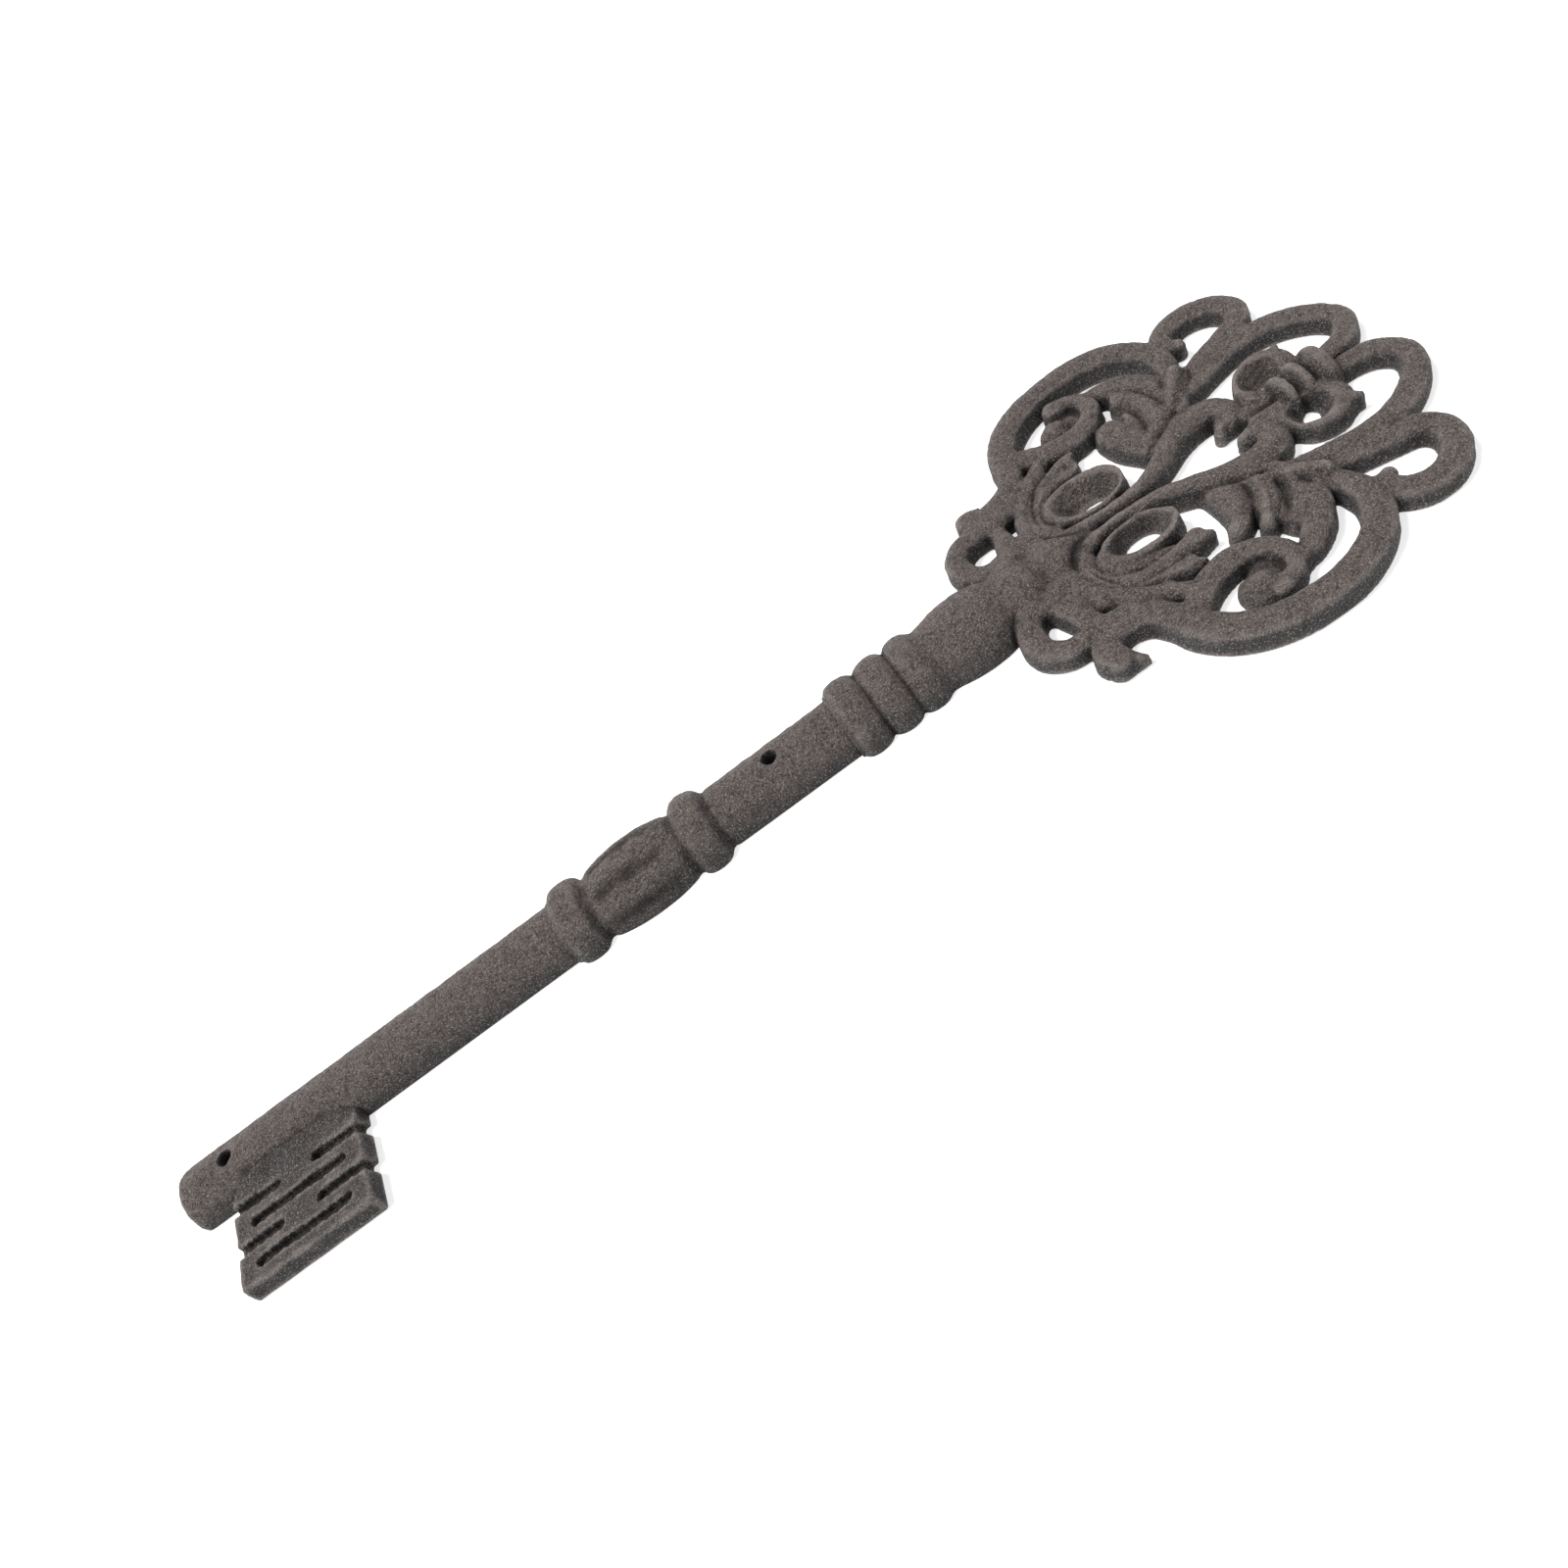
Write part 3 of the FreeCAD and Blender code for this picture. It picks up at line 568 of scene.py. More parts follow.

# %% [markdown]
# The lines of the bow
#
# Every scroll is a strand: a line on the ground with a half width and a height at each point. The
# line is a smooth curve through a few listed points. The first table gives the bit's side. The
# other side takes the same lines in mirror image, apart from those in the second table, and each
# side has a small wobble of its own, because the pattern for a casting was carved by hand and its
# two sides never match.

# %% Strands of the bow
# A row is a place on the ruler, a distance from the axis, a half width and a height
STRANDS = {
    "outer": [(307, 26, 2.6, 5.5), (308.8, 32, 3.2, 6), (308.2, 38.5, 3.4, 6.3),
        (303.5, 45, 3.5, 6.5), (296, 48.9, 3.6, 6.6), (287, 50.1, 3.6, 6.7),
        (277.5, 48.8, 3.7, 6.7), (270, 44.7, 3.8, 6.7), (265.3, 38.8, 3.8, 6.7),
        (263.4, 32.8, 3.6, 6.5), (260.3, 28, 3.4, 6.2), (255, 26.2, 3.3, 6), (250.4, 27.6, 3.4, 6),
        (248.2, 30.6, 3.7, 6.2), (248.6, 33, 3.3, 6)],
    "foot_flick": [(248.4, 31.6, 3, 5.6), (251.2, 34.2, 2, 4.6), (253.6, 35.4, 0.7, 3.4)],
    "spiral": [(266, 36, 3, 5.5), (270, 32.5, 3.2, 6), (275, 30, 3.3, 6), (281, 29.2, 3.2, 6),
        (286.5, 31.6, 2.9, 6), (288.8, 36.2, 2.6, 6), (286.8, 40.6, 2.4, 6),
        (282.6, 42.2, 2.8, 6)],
    "spiral_ball": [(279.8, 38.8, 4.4, 6.4), (280.6, 38.8, 4.4, 6.4)],
    "spiral_floor": [(279.5, 37.5, 3.6, 3.8), (283.5, 37, 5, 3.8)],
    "crescent": [(301.5, 16.5, 2.8, 6), (303, 22, 3.2, 6), (302, 28, 3.6, 6),
        (298.5, 33.5, 3.6, 6), (294, 37.3, 2.8, 5.5), (290.5, 39.2, 1.6, 5)],
    "lobe_low": [(291, 9.5, 3.6, 6.1), (291.2, 14, 4, 6.2), (290.3, 18.6, 3.7, 6.2),
        (288.2, 21.9, 2.9, 6.1), (286.4, 23.4, 2.2, 5.9)],
    "lobe_mid": [(297.5, 13, 3.2, 6), (296.9, 18.6, 3.3, 6.3), (294.6, 23.6, 2.9, 6.3),
        (291.5, 27, 2, 6)],
    "lobe_web": [(293, 12, 4.2, 5.6), (295, 18, 4.8, 5.6), (297, 24, 4.8, 5.2),
        (297.4, 29, 3.8, 5)],
    "stem": [(262, 2.8, 2.8, 7), (270, 2.3, 2.3, 7), (277, 2.3, 2.3, 6.5), (283, 3.6, 2.7, 6.5),
        (289, 6.2, 3, 6.5), (295, 9.1, 3.4, 6.5), (301, 11, 3.7, 6.6), (306, 10.4, 3.9, 6.7),
        (308.4, 7.2, 3.6, 6.4), (306.8, 4.4, 3.2, 6.2), (304.4, 3.4, 1.8, 5.4)],
    "curl": [(311.5, 3.5, 2.2, 6), (313.3, 8, 2.4, 6), (316, 11.6, 2.9, 6.2),
        (320.5, 12.4, 3.3, 6.4), (323.6, 9.8, 3.3, 6.4), (323.6, 6, 2.8, 6.2)],
    "curl_corner": [(321.5, 10.5, 2.8, 6), (324.6, 12.4, 2, 5.8), (326.8, 13.6, 0.6, 5.2)],
    "curl_web": [(314.5, 6.5, 3.2, 5.6), (320, 7, 4, 5.6)],
    "curl_base": [(309, 2, 2, 5.6), (314, 2.3, 2, 5.4), (318, 2.6, 2, 5.2), (323, 3, 2.2, 5.2)],
    "heart": [(303.5, 19, 2.8, 5.5), (308, 20.3, 3, 5.5), (314, 21.8, 3, 5.5), (321, 22.7, 3, 5.5),
        (328, 22.3, 3.1, 5.5), (334.5, 19.5, 3.1, 5.5), (339.3, 15, 3, 5.5),
        (341.2, 9.8, 2.8, 5.5), (338.8, 5.3, 2.8, 5.5), (334.5, 3.2, 2.6, 5.5),
        (329, 2.6, 2.4, 5.5)],
    "side": [(315, 34.6, 1.8, 5.2), (313.2, 36.2, 2.7, 5.5), (313.6, 39.5, 3.1, 5.5),
        (317.5, 42, 3.2, 5.5), (323, 41.8, 3.2, 5.5), (328, 38.5, 3.2, 5.5), (330, 33.3, 3.1, 5.5),
        (327.8, 29, 3, 5.5), (322, 27, 2.9, 5.5), (315, 25.3, 2.8, 5.5), (309, 23.6, 2.6, 5.5)],
    "bud": [(299.5, 17.4, 2.3, 6.2), (303.8, 21.8, 3.2, 7.6), (307.4, 25.4, 3, 7.8)],
    "leaf_outer": [(256.6, 9, 2.9, 6.4), (257.6, 15.5, 3.1, 6.2), (261, 21, 3.2, 6.1),
        (265.4, 25, 2.9, 6), (269.6, 28.4, 2.2, 5.9)],
    "leaf_mid": [(260, 13, 2.8, 6), (264, 19, 3.1, 6), (269.4, 22.4, 3.1, 6),
        (274.2, 23.8, 2.4, 5.8)],
    "leaf_inner": [(264, 16.4, 2.8, 6), (271, 18.6, 3, 6), (276.5, 19, 3, 6),
        (279.6, 18.4, 2.6, 5.9)],
    "leaf_corner": [(278.2, 19, 2.7, 5.9), (280.4, 19.6, 2, 5.8), (282.6, 20.2, 0.7, 5.4)],
    "leaf_point": [(272.8, 23.6, 2.6, 5.8), (274.8, 24.4, 1.9, 5.6), (277, 25.2, 0.7, 5.2)],
    "leaf_web": [(258, 8, 4.4, 6.2), (262, 17.5, 5.2, 5.9), (267, 21, 4.8, 5.8),
        (273, 21.9, 3.6, 5.6)],
    "loop": [(241.5, 9, 3, 6), (238.9, 14, 3.3, 6), (238.9, 19.2, 3.2, 6), (242.2, 22.9, 2.8, 6),
        (247, 23.8, 2.6, 6), (253, 23.8, 2.7, 6), (259, 24.8, 3, 6)],
    "neck_lobe": [(248.2, 9, 3.8, 6.5), (249.4, 13.5, 3.8, 6.4), (250, 17, 3.4, 6.2),
        (250.6, 20.8, 3, 5.8)],
    "neck_gap": [(255.4, 12, 3.8, 6), (256, 17, 3.2, 5.8)],
    "neck_web": [(243, 8, 3.6, 6.5), (249, 8.6, 4.2, 6.5), (255, 9.2, 4.4, 6.5),
        (261, 9, 3.6, 6.5)],
}

# Where the side away from the bit was carved differently
OTHER_SIDE = {
    "outer": STRANDS["outer"][:12] + [(250.6, 26, 3.3, 6), (247.9, 28, 3.3, 6)],
    "foot_flick": [(247.6, 28, 2.8, 5.6), (250, 30, 1.8, 4.8), (252.2, 31, 0.7, 3.6)],
    "spiral_ball": [(278.8, 36, 4, 6.2), (279.4, 35.8, 4, 6.2)],
    "spiral_floor": [(279.5, 35.8, 3.6, 3.6), (283.5, 35.6, 4.8, 3.6)],
    "stem": STRANDS["stem"][:6] + [(301, 10.4, 3.9, 6.7), (305, 8.4, 4.3, 6.8),
        (305.6, 5, 3.9, 6.5), (302.6, 2.8, 1.6, 4.8)],
    "lobe_low": [(291, 9.5, 3.4, 6), (290, 14, 4.1, 6), (288.4, 19, 4.5, 6.3),
        (287.4, 23.4, 4.2, 6.2)],
    "lobe_mid": [(297.5, 13, 3.2, 6), (297.8, 19, 3.6, 6.2), (297, 25, 3.8, 6.2),
        (295.2, 30, 3.4, 5.9)],
    "lobe_web": [(293, 12, 4.2, 5.8), (294.8, 18, 4.8, 5.8), (296.2, 24, 5, 5.7),
        (296.6, 30, 4.6, 5.6)],
    "leaf_inner": [(264, 17.6, 2.6, 6), (268, 19.4, 2.4, 5.8), (272.5, 20.2, 1.9, 5.4)],
    "leaf_corner": [(271.4, 20, 1.9, 5.4), (272.6, 20.3, 1.4, 5.3), (273.8, 20.6, 0.6, 5)],
    "neck_lobe": [(248.5, 9, 2.9, 6.5), (249.8, 13.5, 2.8, 6.3), (250.6, 17, 2.3, 5.8),
        (251, 19.6, 2.1, 5.2)],
    "neck_gap": [(256.4, 12, 3.4, 6), (257, 16, 2.4, 5.6)],
    "loop": [(241.5, 9, 2.8, 6), (238.7, 13.5, 2.9, 6), (238.7, 18.5, 3, 6), (242, 22, 3, 6),
        (247, 22.8, 3, 6), (253, 22.6, 3, 6), (259, 23.5, 3, 6)],
}

# The row of the outer scroll where its arch ends and its foot begins
OUTER_SPLIT = 7

# The strands of each scroll piece
SCROLLS = {
    "inner_spiral": ["spiral", "spiral_ball", "spiral_floor"], "leaf_eye": ["eye"],
    "acanthus_leaf": ["leaf_outer", "leaf_mid", "leaf_inner", "leaf_corner", "leaf_point",
                      "leaf_web"],
    "central_stem": ["stem"], "curl_ring": ["curl", "curl_base", "curl_web", "curl_corner"],
    "leaf_lobes": ["lobe_low", "lobe_mid", "lobe_web"], "bud": ["bud"],
    "crescent_leaf": ["crescent"], "heart_loop": ["heart"], "side_loop": ["side"],
    "lower_loop": ["loop"], "neck_lobe": ["neck_lobe", "neck_gap", "neck_web"]}
print(len(STRANDS), "strands in", len(SCROLLS), "scroll pieces on each side")

# %% [markdown]
# Laying a strand
#
# Across a strand the real iron has a broad, gently rounded top, a visible shoulder and a steep
# wall with a little draft, so that the pattern lifts out of the sand. The wall comes from the
# distance to the line in plan, the top from the height, and a smooth maximum rounds the shoulder.

# %% From a line to clay
# How far the top falls from the line to the wall, as a share of the height
CROWN = {"leaf_outer": 0.26, "leaf_mid": 0.26, "leaf_inner": 0.26, "lobe_low": 0.34,
         "lobe_mid": 0.36, "spiral_ball": 0.6, "bud": 0.45, "lobe_web": 0.05, "leaf_web": 0.05,
         "stem": 0.3, "foot_flick": 0.1}
PLAIN_CROWN, CROWN_LIMIT = 0.2, 1.4
LINE_GAP, WALL_DRAFT, SHOULDER = 0.4, 0.12, 0.8
# The skin takes a little off, so a strand is laid a little wider and higher than its row says
WIDER, HIGHER, TOP_SLOPE = 1.05, 1.02, 0.92
BROAD_DRIFT, FINE_DRIFT = 0.18, 0.12


def smooth_line(rows, gap=LINE_GAP):
    """Points close together on the curve through a strand's rows."""
    rows = np.array(rows, dtype=float)
    ends = np.vstack([2 * rows[0] - rows[1], rows, 2 * rows[-1] - rows[-2]])
    out = []
    for a, b, c, d in zip(ends, ends[1:], ends[2:], ends[3:]):
        steps = max(2, int(np.hypot(*(c - b)[:2]) / gap))
        t = np.linspace(0, 1, steps, endpoint=False)[:, None]
        out.append(0.5 * (2 * b + (c - a) * t + (2 * a - 5 * b + 4 * c - d) * t ** 2
                          + (3 * b - a - 3 * c + d) * t ** 3))
    return np.vstack(out + [rows[-1:]])


def wobble(x, y, side):
    """A slow drift of up to 0.3 mm, different on the two sides."""
    turn = 1.7 if side > 0 else 4.1
    dx = (BROAD_DRIFT * np.sin(x / 9.1 + turn) * np.cos(y / 7.3 - turn)
          + FINE_DRIFT * np.sin(y / 4.7 + 2 * turn))
    dy = (BROAD_DRIFT * np.cos(x / 8.3 - turn) * np.sin(y / 9.7 + turn)
          + FINE_DRIFT * np.sin(x / 5.1 - 2 * turn))
    return dx, dy


def to_line(line, block, side):
    """For each column of a block: distance to a line in plan, and the nearest point's number."""
    x, y = block.x[:, :, 0] + RULER_ZERO, block.y[:, :, 0] * side
    dx, dy = wobble(x, y, side)
    x, y = (np.broadcast_to(v, block.shape[:2]).ravel() for v in (x + dx, y + dy))
    best, which = np.full(len(x), 1e9), np.zeros(len(x), dtype=int)
    for k, (px, py) in enumerate(line[:, :2]):
        far = (x - px) ** 2 + (y - py) ** 2
        nearer = far < best
        best[nearer], which[nearer] = far[nearer], k
    return np.sqrt(best).reshape(block.shape[:2] + (1,)), which


def strand_line(name, side):
    return smooth_line(OTHER_SIDE.get(name, STRANDS[name]) if side > 0 else STRANDS[name])


def strand_distance(name, block, side):
    """Distance to one strand's surface, with the numbers and points of its line.
    The side is -1 for the bit's and 1 for the other."""
    line = strand_line(name, side)
    away, which = to_line(line, block, side)
    half_width, height = (line[which, k].reshape(away.shape) for k in (2, 3))
    wall = away - half_width * (WIDER - WALL_DRAFT * block.z / height)
    across = np.minimum(away / half_width, CROWN_LIMIT)
    fall = CROWN.get(name, PLAIN_CROWN) * across * across
    top = TOP_SLOPE * (block.z - height * (HIGHER - fall))
    return smooth_high(wall, top, SHOULDER), which, line


print("one strand has", len(strand_line("heart", 1)), "line points")

# %% [markdown]
# Carving
#
# The leaves are told apart by V grooves that sweep round the neck of each eye and run out to the
# tips. A groove is a line again, and the clay is pressed down near it. The eyes and the curls are
# bowls: an oval that narrows from its rim to a small hole in the back, cut with a smooth maximum.

# %% Grooves, eyes and bowls
# A groove is a line, its depth on the bit's side and on the other, and its half width
GROOVES = [
    ([(276, 3.9), (270, 3.6), (264.6, 4.6), (261, 7.4), (259.6, 11), (261.2, 14.8), (265, 17.2),
      (270, 18), (275, 17.4), (280, 15.8)], 1.3, 1.3, 0.7),
    ([(266, 0.8), (260.5, 2), (256.8, 5.6), (256, 10.5), (257.6, 15.2), (261.2, 19.3),
      (266.5, 21.2), (272, 21.8), (279, 21.2)], 1.2, 0.8, 0.7),
    ([(257.6, 8.5), (258.6, 13), (260.8, 18), (264.6, 22.2), (269, 24.4), (274.5, 26.6)], 1.3, 1.3,
      0.7),
    ([(259.5, 12.5), (261, 16.5), (264.6, 20.4), (269.5, 22.9), (275.6, 24.4)], 0.7, 0.6, 0.5),
    ([(262, 0.2), (270, 0.3), (278, 0.2), (283, 0.2)], 1.1, 1.1, 0.8),
    ([(276, 4.4), (282, 6.2), (289, 9.8), (295, 13), (300.5, 15.8), (303, 18)], 1.4, 1.4, 0.8),
    ([(294.8, 11.8), (294.6, 16.4), (293, 20.4), (290, 24.2)], 1.5, 0, 0.9),
    ([(300.2, 14.5), (299.8, 20.5), (297.6, 25.6), (294.6, 29.4), (291.4, 32)], 1.8, 0, 1.1),
    ([(291.4, 14.6), (293.8, 19), (294.3, 24.2), (292, 28.6), (287.2, 30.2)], 0, 2.4, 1.1),
    ([(299.2, 15.5), (299.9, 21), (299.3, 27), (296.9, 32), (293.5, 35)], 0, 1.1, 0.9),
    ([(297.6, 15), (297.4, 19.5), (295.2, 24), (292.2, 27.4)], 0.8, 0, 0.6),
    ([(301.4, 20.6), (303.2, 24.6), (304.4, 28)], 1.2, 1.2, 0.7),
    ([(305.6, 18.6), (309.6, 22.4), (311.6, 26.5)], 1.1, 1.1, 0.7),
    ([(277.4, 35), (281, 34.2), (284.4, 35.4), (285.6, 38.2), (283.6, 40.8)], 1.6, 1, 0.8),
]

# Ovals on the bit's side and on the other: an eye's middle, radii and height, and the bowls with
# their middles and radii at the bottom and at the top
EYES = {-1: ((271.2, 9.6), (10.8, 6.8), 6.5), 1: ((270.4, 10.9), (11.2, 7.7), 6.5)}
BOWLS = {-1: [((272.0, 8.7), (4.3, 2.3), (272.2, 9.1), (8.4, 4.7)),
              ((318.6, 7.0), (1.6, 1.9), (317.3, 8.9), (5.2, 4.7))],
         1: [((271.6, 8.8), (4.2, 2.3), (271.4, 10.7), (8.8, 5.4)),
             ((318.4, 7.2), (1.6, 1.9), (317.1, 9.0), (5.3, 4.8))]}
GROOVE_GAP, GROOVE_FADE, GROOVE_END = 0.5, 0.8, 0.25
BOWL_TOP, LEAST_BOWL = 6.2, 0.8


def oval_distance(middle, radii, block, side):
    """Distance in plan from an oval whose middle and radii may change with height."""
    dx, dy = wobble(block.x + RULER_ZERO, block.y * side, side)
    px, py = block.x + RULER_ZERO + dx - middle[0], block.y * side + dy - middle[1]
    away = np.sqrt(px * px + py * py) + 1e-6
    share = np.sqrt((px / radii[0]) ** 2 + (py / radii[1]) ** 2) + 1e-6
    return away * (1 - 1 / share)


def eye_distance(block, side):
    middle, radii, height = EYES[side]
    wall = oval_distance(middle, radii, block, side) + WALL_DRAFT * block.z
    return smooth_high(wall, TOP_SLOPE * (block.z - height), SHOULDER)


def bowl_distance(bowl, block, side):
    (x0, y0), (rx0, ry0), (x1, y1), (rx1, ry1) = bowl
    rise = block.z / BOWL_TOP
    middle = (x0 + (x1 - x0) * rise, y0 + (y1 - y0) * rise)
    radii = [np.maximum(low + (high - low) * rise, LEAST_BOWL)
             for low, high in ((rx0, rx1), (ry0, ry1))]
    return oval_distance(middle, radii, block, side)


def groove_depth(block, side):
    """How far the carving presses the clay down, over a block."""
    pressed = np.zeros(block.shape[:2])
    for rows, near, far, half_width in GROOVES:
        line = smooth_line([(a, b, i, 0) for i, (a, b) in enumerate(rows)], GROOVE_GAP)
        away, which = to_line(line, block, side)
        along = line[which, 2].reshape(block.shape[:2])
        inward = np.minimum(along, len(rows) - 1 - along) / GROOVE_FADE
        deep = (far if side > 0 else near) * np.clip(inward, GROOVE_END, 1)
        pressed = np.maximum(pressed, deep * np.exp(-away[:, :, 0] / half_width))
    return pressed[:, :, None]


print(len(GROOVES), "grooves and", len(BOWLS[1]), "bowls on each side")

# %% [markdown]
# Beads, bulb and trunk
#
# Three round beads lie across the axis and tie the two sides together, and the neck's bulb and the
# trunk carry the scrolls. They go into the same clay, so that the scrolls grow out of them with a
# soft fillet instead of standing against them with a hard line.

# %% The clay of the middle
# A bead's place on the ruler, half thickness, half length and height
BEADS = {"tie_bead_small": (317.5, 2.1, 5.9, 8.7), "tie_bead_middle": (321.8, 2.4, 6.5, 9.2),
         "tie_bead_large": (327.0, 3.0, 7.2, 9.7)}
SLABS = {"neck_baluster": (200.0, 240.0), "neck_bulb": (240.0, 248.4), "bow_trunk": (248.4, 266.0)}
BEAD_POWER, STEM_END = 2.4, 269.0


def bead_distance(name, block):
    """Distance to a bead, a ball whose shape lies between an egg and a brick."""
    place, half_thick, half_long, height = BEADS[name]
    px, py, pz = (block.x + RULER_ZERO - place) / half_thick, block.y / half_long, block.z / height
    size = sum(np.abs(p) ** BEAD_POWER for p in (px, py, pz)) ** (1 / BEAD_POWER)
    return (size - 1) * 0.8 * half_thick / np.maximum(size, 0.35) ** 0.5


def stem_distance(block):
    ruler = block.x + RULER_ZERO
    radius = stem_radius(np.minimum(ruler, STEM_END))
    round_body = np.sqrt(block.y ** 2 + block.z ** 2) - radius
    return smooth_high(0.94 * round_body, ruler - STEM_END, 2.0)


print(len(BEADS), "beads;", len(SLABS), "slabs of the stem")

# %% [markdown]
# Casting the bow
#
# All the clay of the bow is laid in one grid and the creases are filled, as molten iron does. Then
# the body is shared out among the named pieces: each keeps what lies nearer to its own clay than to
# any other's. A piece goes half a millimetre under its neighbours, and a little deeper there, so
# that the joints don't show and no two surfaces lie in the same place.

# %% Lay the clay of the bow
BOW_X, BOW_Y, BOW_Z = (to_x(232.0), to_x(345.5)), 56.0, (-1.0, 11.0)
BOW = Block((BOW_X[0], -BOW_Y, BOW_Z[0]), (BOW_X[1], BOW_Y, BOW_Z[1]))
AXIS_STRIP, OFF_LIMITS = 1.5, 9.0
SHARE_PAST_AXIS, CLAY_PAST_AXIS = 0.2, 1.0
CARVED_FROM, CARVED_RISE = 1.5, 2.5
FILLET, WELD, BOWL_RIM, BEAD_WELD = 1.3, 0.8, 0.9, 0.5


def scroll_layer(name, half, side):
    return eye_distance(half, side) if name == "eye" else strand_distance(name, half, side)[0]


def scroll_bodies(half, side):
    """Distance to the whole outer scroll, and to each scroll piece of one side."""
    outer, which, line = strand_distance("outer", half, side)
    outer = smooth_low(outer, scroll_layer("foot_flick", half, side), WELD)
    split = int(np.argmin(np.hypot(*(line[:, :2] - STRANDS["outer"][OUTER_SPLIT][:2]).T)))
    past = ((which - split) * LINE_GAP).reshape(outer.shape[:2] + (1,))
    pieces = {"outer_scroll_arch": outer + np.maximum(past, 0),
              "outer_scroll_foot": outer + np.maximum(-past, 0)}
    for label, (first, *others) in SCROLLS.items():
        body = scroll_layer(first, half, side)
        for name in others:
            body = smooth_low(body, scroll_layer(name, half, side), WELD)
        pieces[label] = body
    return outer, pieces


def lay_side(clay, share, side, suffix):
    near, far = (-AXIS_STRIP, BOW_Y) if side > 0 else (-BOW_Y, AXIS_STRIP)
    half = Block((BOW_X[0], near, BOW_Z[0]), (BOW_X[1], far, BOW_Z[1]))
    inside = tuple(slice(a - c, b - c) for a, b, c in zip(half.first, half.last, BOW.first))
    fence = -half.y * side
    outer, pieces = scroll_bodies(half, side)
    for label, body in pieces.items():
        whole = np.full(BOW.shape, OFF_LIMITS, dtype=np.float32)
        whole[inside] = np.maximum(body, fence - SHARE_PAST_AXIS)
        share[f"{label}_{suffix}"] = whole
    region = clay[inside]
    for body in [outer] + [pieces[label] for label in SCROLLS]:
        region = smooth_low(region, np.maximum(body, fence - CLAY_PAST_AXIS), FILLET)
    lift = np.clip((half.z - CARVED_FROM) / CARVED_RISE, 0, 1)
    region = region + groove_depth(half, side) * lift * np.clip(half.y * side + 0.5, 0, 1)
    for bowl in BOWLS[side]:
        region = smooth_high(region, -bowl_distance(bowl, half, side), BOWL_RIM)
    clay[inside] = region


def lay_bow():
    ruler = BOW.x + RULER_ZERO
    stem = stem_distance(BOW)
    clay, share = stem.astype(np.float32), {}
    for name, (low, high) in SLABS.items():
        slab = np.maximum(stem, np.maximum(low - ruler, ruler - high))
        share[name] = slab.astype(np.float32)
    for name in BEADS:
        share[name] = np.broadcast_to(bead_distance(name, BOW), BOW.shape).astype(np.float32)
    for side, suffix in ((1, "left"), (-1, "right")):
        lay_side(clay, share, side, suffix)
    for name in BEADS:
        clay = smooth_low(clay, share[name], BEAD_WELD)
    return np.maximum(clay, -BOW.z).astype(np.float32), share


bow_clay, bow_share = lay_bow()
print("bow clay:", bow_clay.shape, "pieces:", len(bow_share))

# %% [markdown]
# The bit
#
# The bit is a plate with a worn, rounded outer edge, a hollow sweep up to the shank, four rows of
# slots like the wards of a real key and two notches at its far end. It is made of the same clay,
# because its edges are all a little different and its root melts into the shank.

# %% Lay the clay of the bit
BIT = Block((to_x(8.0), -37.5, -1.0), (to_x(51.0), 0.0, 13.0))
BIT_X, BIT_REACH, BIT_HEIGHT, BIT_DRAFT = (10.8, 48.0), 34.4, 5.3, 0.9
SHORT_SLOTS, LONG_SLOT = [(8.0, 24.4), (34.4, 52.0)], [(15.9, 42.9)]
SLOT_ROWS = [(13.3, SHORT_SLOTS), (18.5, LONG_SLOT), (23.7, SHORT_SLOTS), (28.9, LONG_SLOT)]
SLOT_HALF, SLOT_ROUND, SLOT_FLOOR, SLOT_DRAFT = 1.10, 0.9, 3.3, 0.12
NOTCHES, NOTCH_HALF, NOTCH_DEPTH = [13.3, 23.7], 1.3, 1.5
ROOT_FILLET, CUT_EDGE = 2.6, 0.5


def bit_blank(ruler, out, z, drift):
    """Distance to the plate, with its sweep up to the shank and its low corners there."""
    sweep = 0.5 * np.clip((13.4 - out) / 7.0, 0, 1) ** 2
    past = np.clip(np.maximum(BIT_X[0] + 3 - ruler, ruler - BIT_X[1] + 3) / 3, 0, 1)
    corner = 1.6 * past * np.clip((11 - out) / 4, 0, 1)
    rise = BIT_HEIGHT + sweep + 0.3 * drift - corner
    draft = BIT_DRAFT * (1 - np.clip(z, 0, BIT_HEIGHT) / BIT_HEIGHT) - BIT_DRAFT
    sides = np.maximum(BIT_X[0] - ruler + 0.1 * drift, ruler - BIT_X[1] + 0.1 * drift)
    plate = smooth_high(sides - 0.25 * draft - 0.2, out - BIT_REACH - draft - 0.25 * drift, 0.7)
    return np.maximum(smooth_high(plate, z - rise, 0.6), -out)


def bit_cuts(ruler, out, z, drift):
    """Distance to the nearest slot or notch. Slots have round ends and ragged walls."""
    ragged = (0.25 * np.sin(ruler * 2.3 + 1.1) * np.cos(out * 1.9)
              + 0.2 * np.sin(ruler * 4.1 - out * 3.3))
    cuts = np.full(BIT.shape, OFF_LIMITS)
    for row, runs in SLOT_ROWS:
        for low, high in runs:
            middle, half = (low + high) / 2, (high - low) / 2
            along = np.maximum(np.abs(ruler - middle) - half + SLOT_ROUND, 0)
            away = np.sqrt(along ** 2 + (out - row + 0.6 * drift) ** 2)
            wall = away - SLOT_HALF - SLOT_DRAFT * (z - 4.0) - 0.6 * ragged
            cuts = np.minimum(cuts, smooth_high(wall, SLOT_FLOOR - 0.8 * drift - z, 0.4))
    for row in NOTCHES:
        notch = smooth_high(np.abs(out - row) - NOTCH_HALF, BIT_X[1] - NOTCH_DEPTH - ruler, 0.8)
        cuts = np.minimum(cuts, notch)
    return cuts


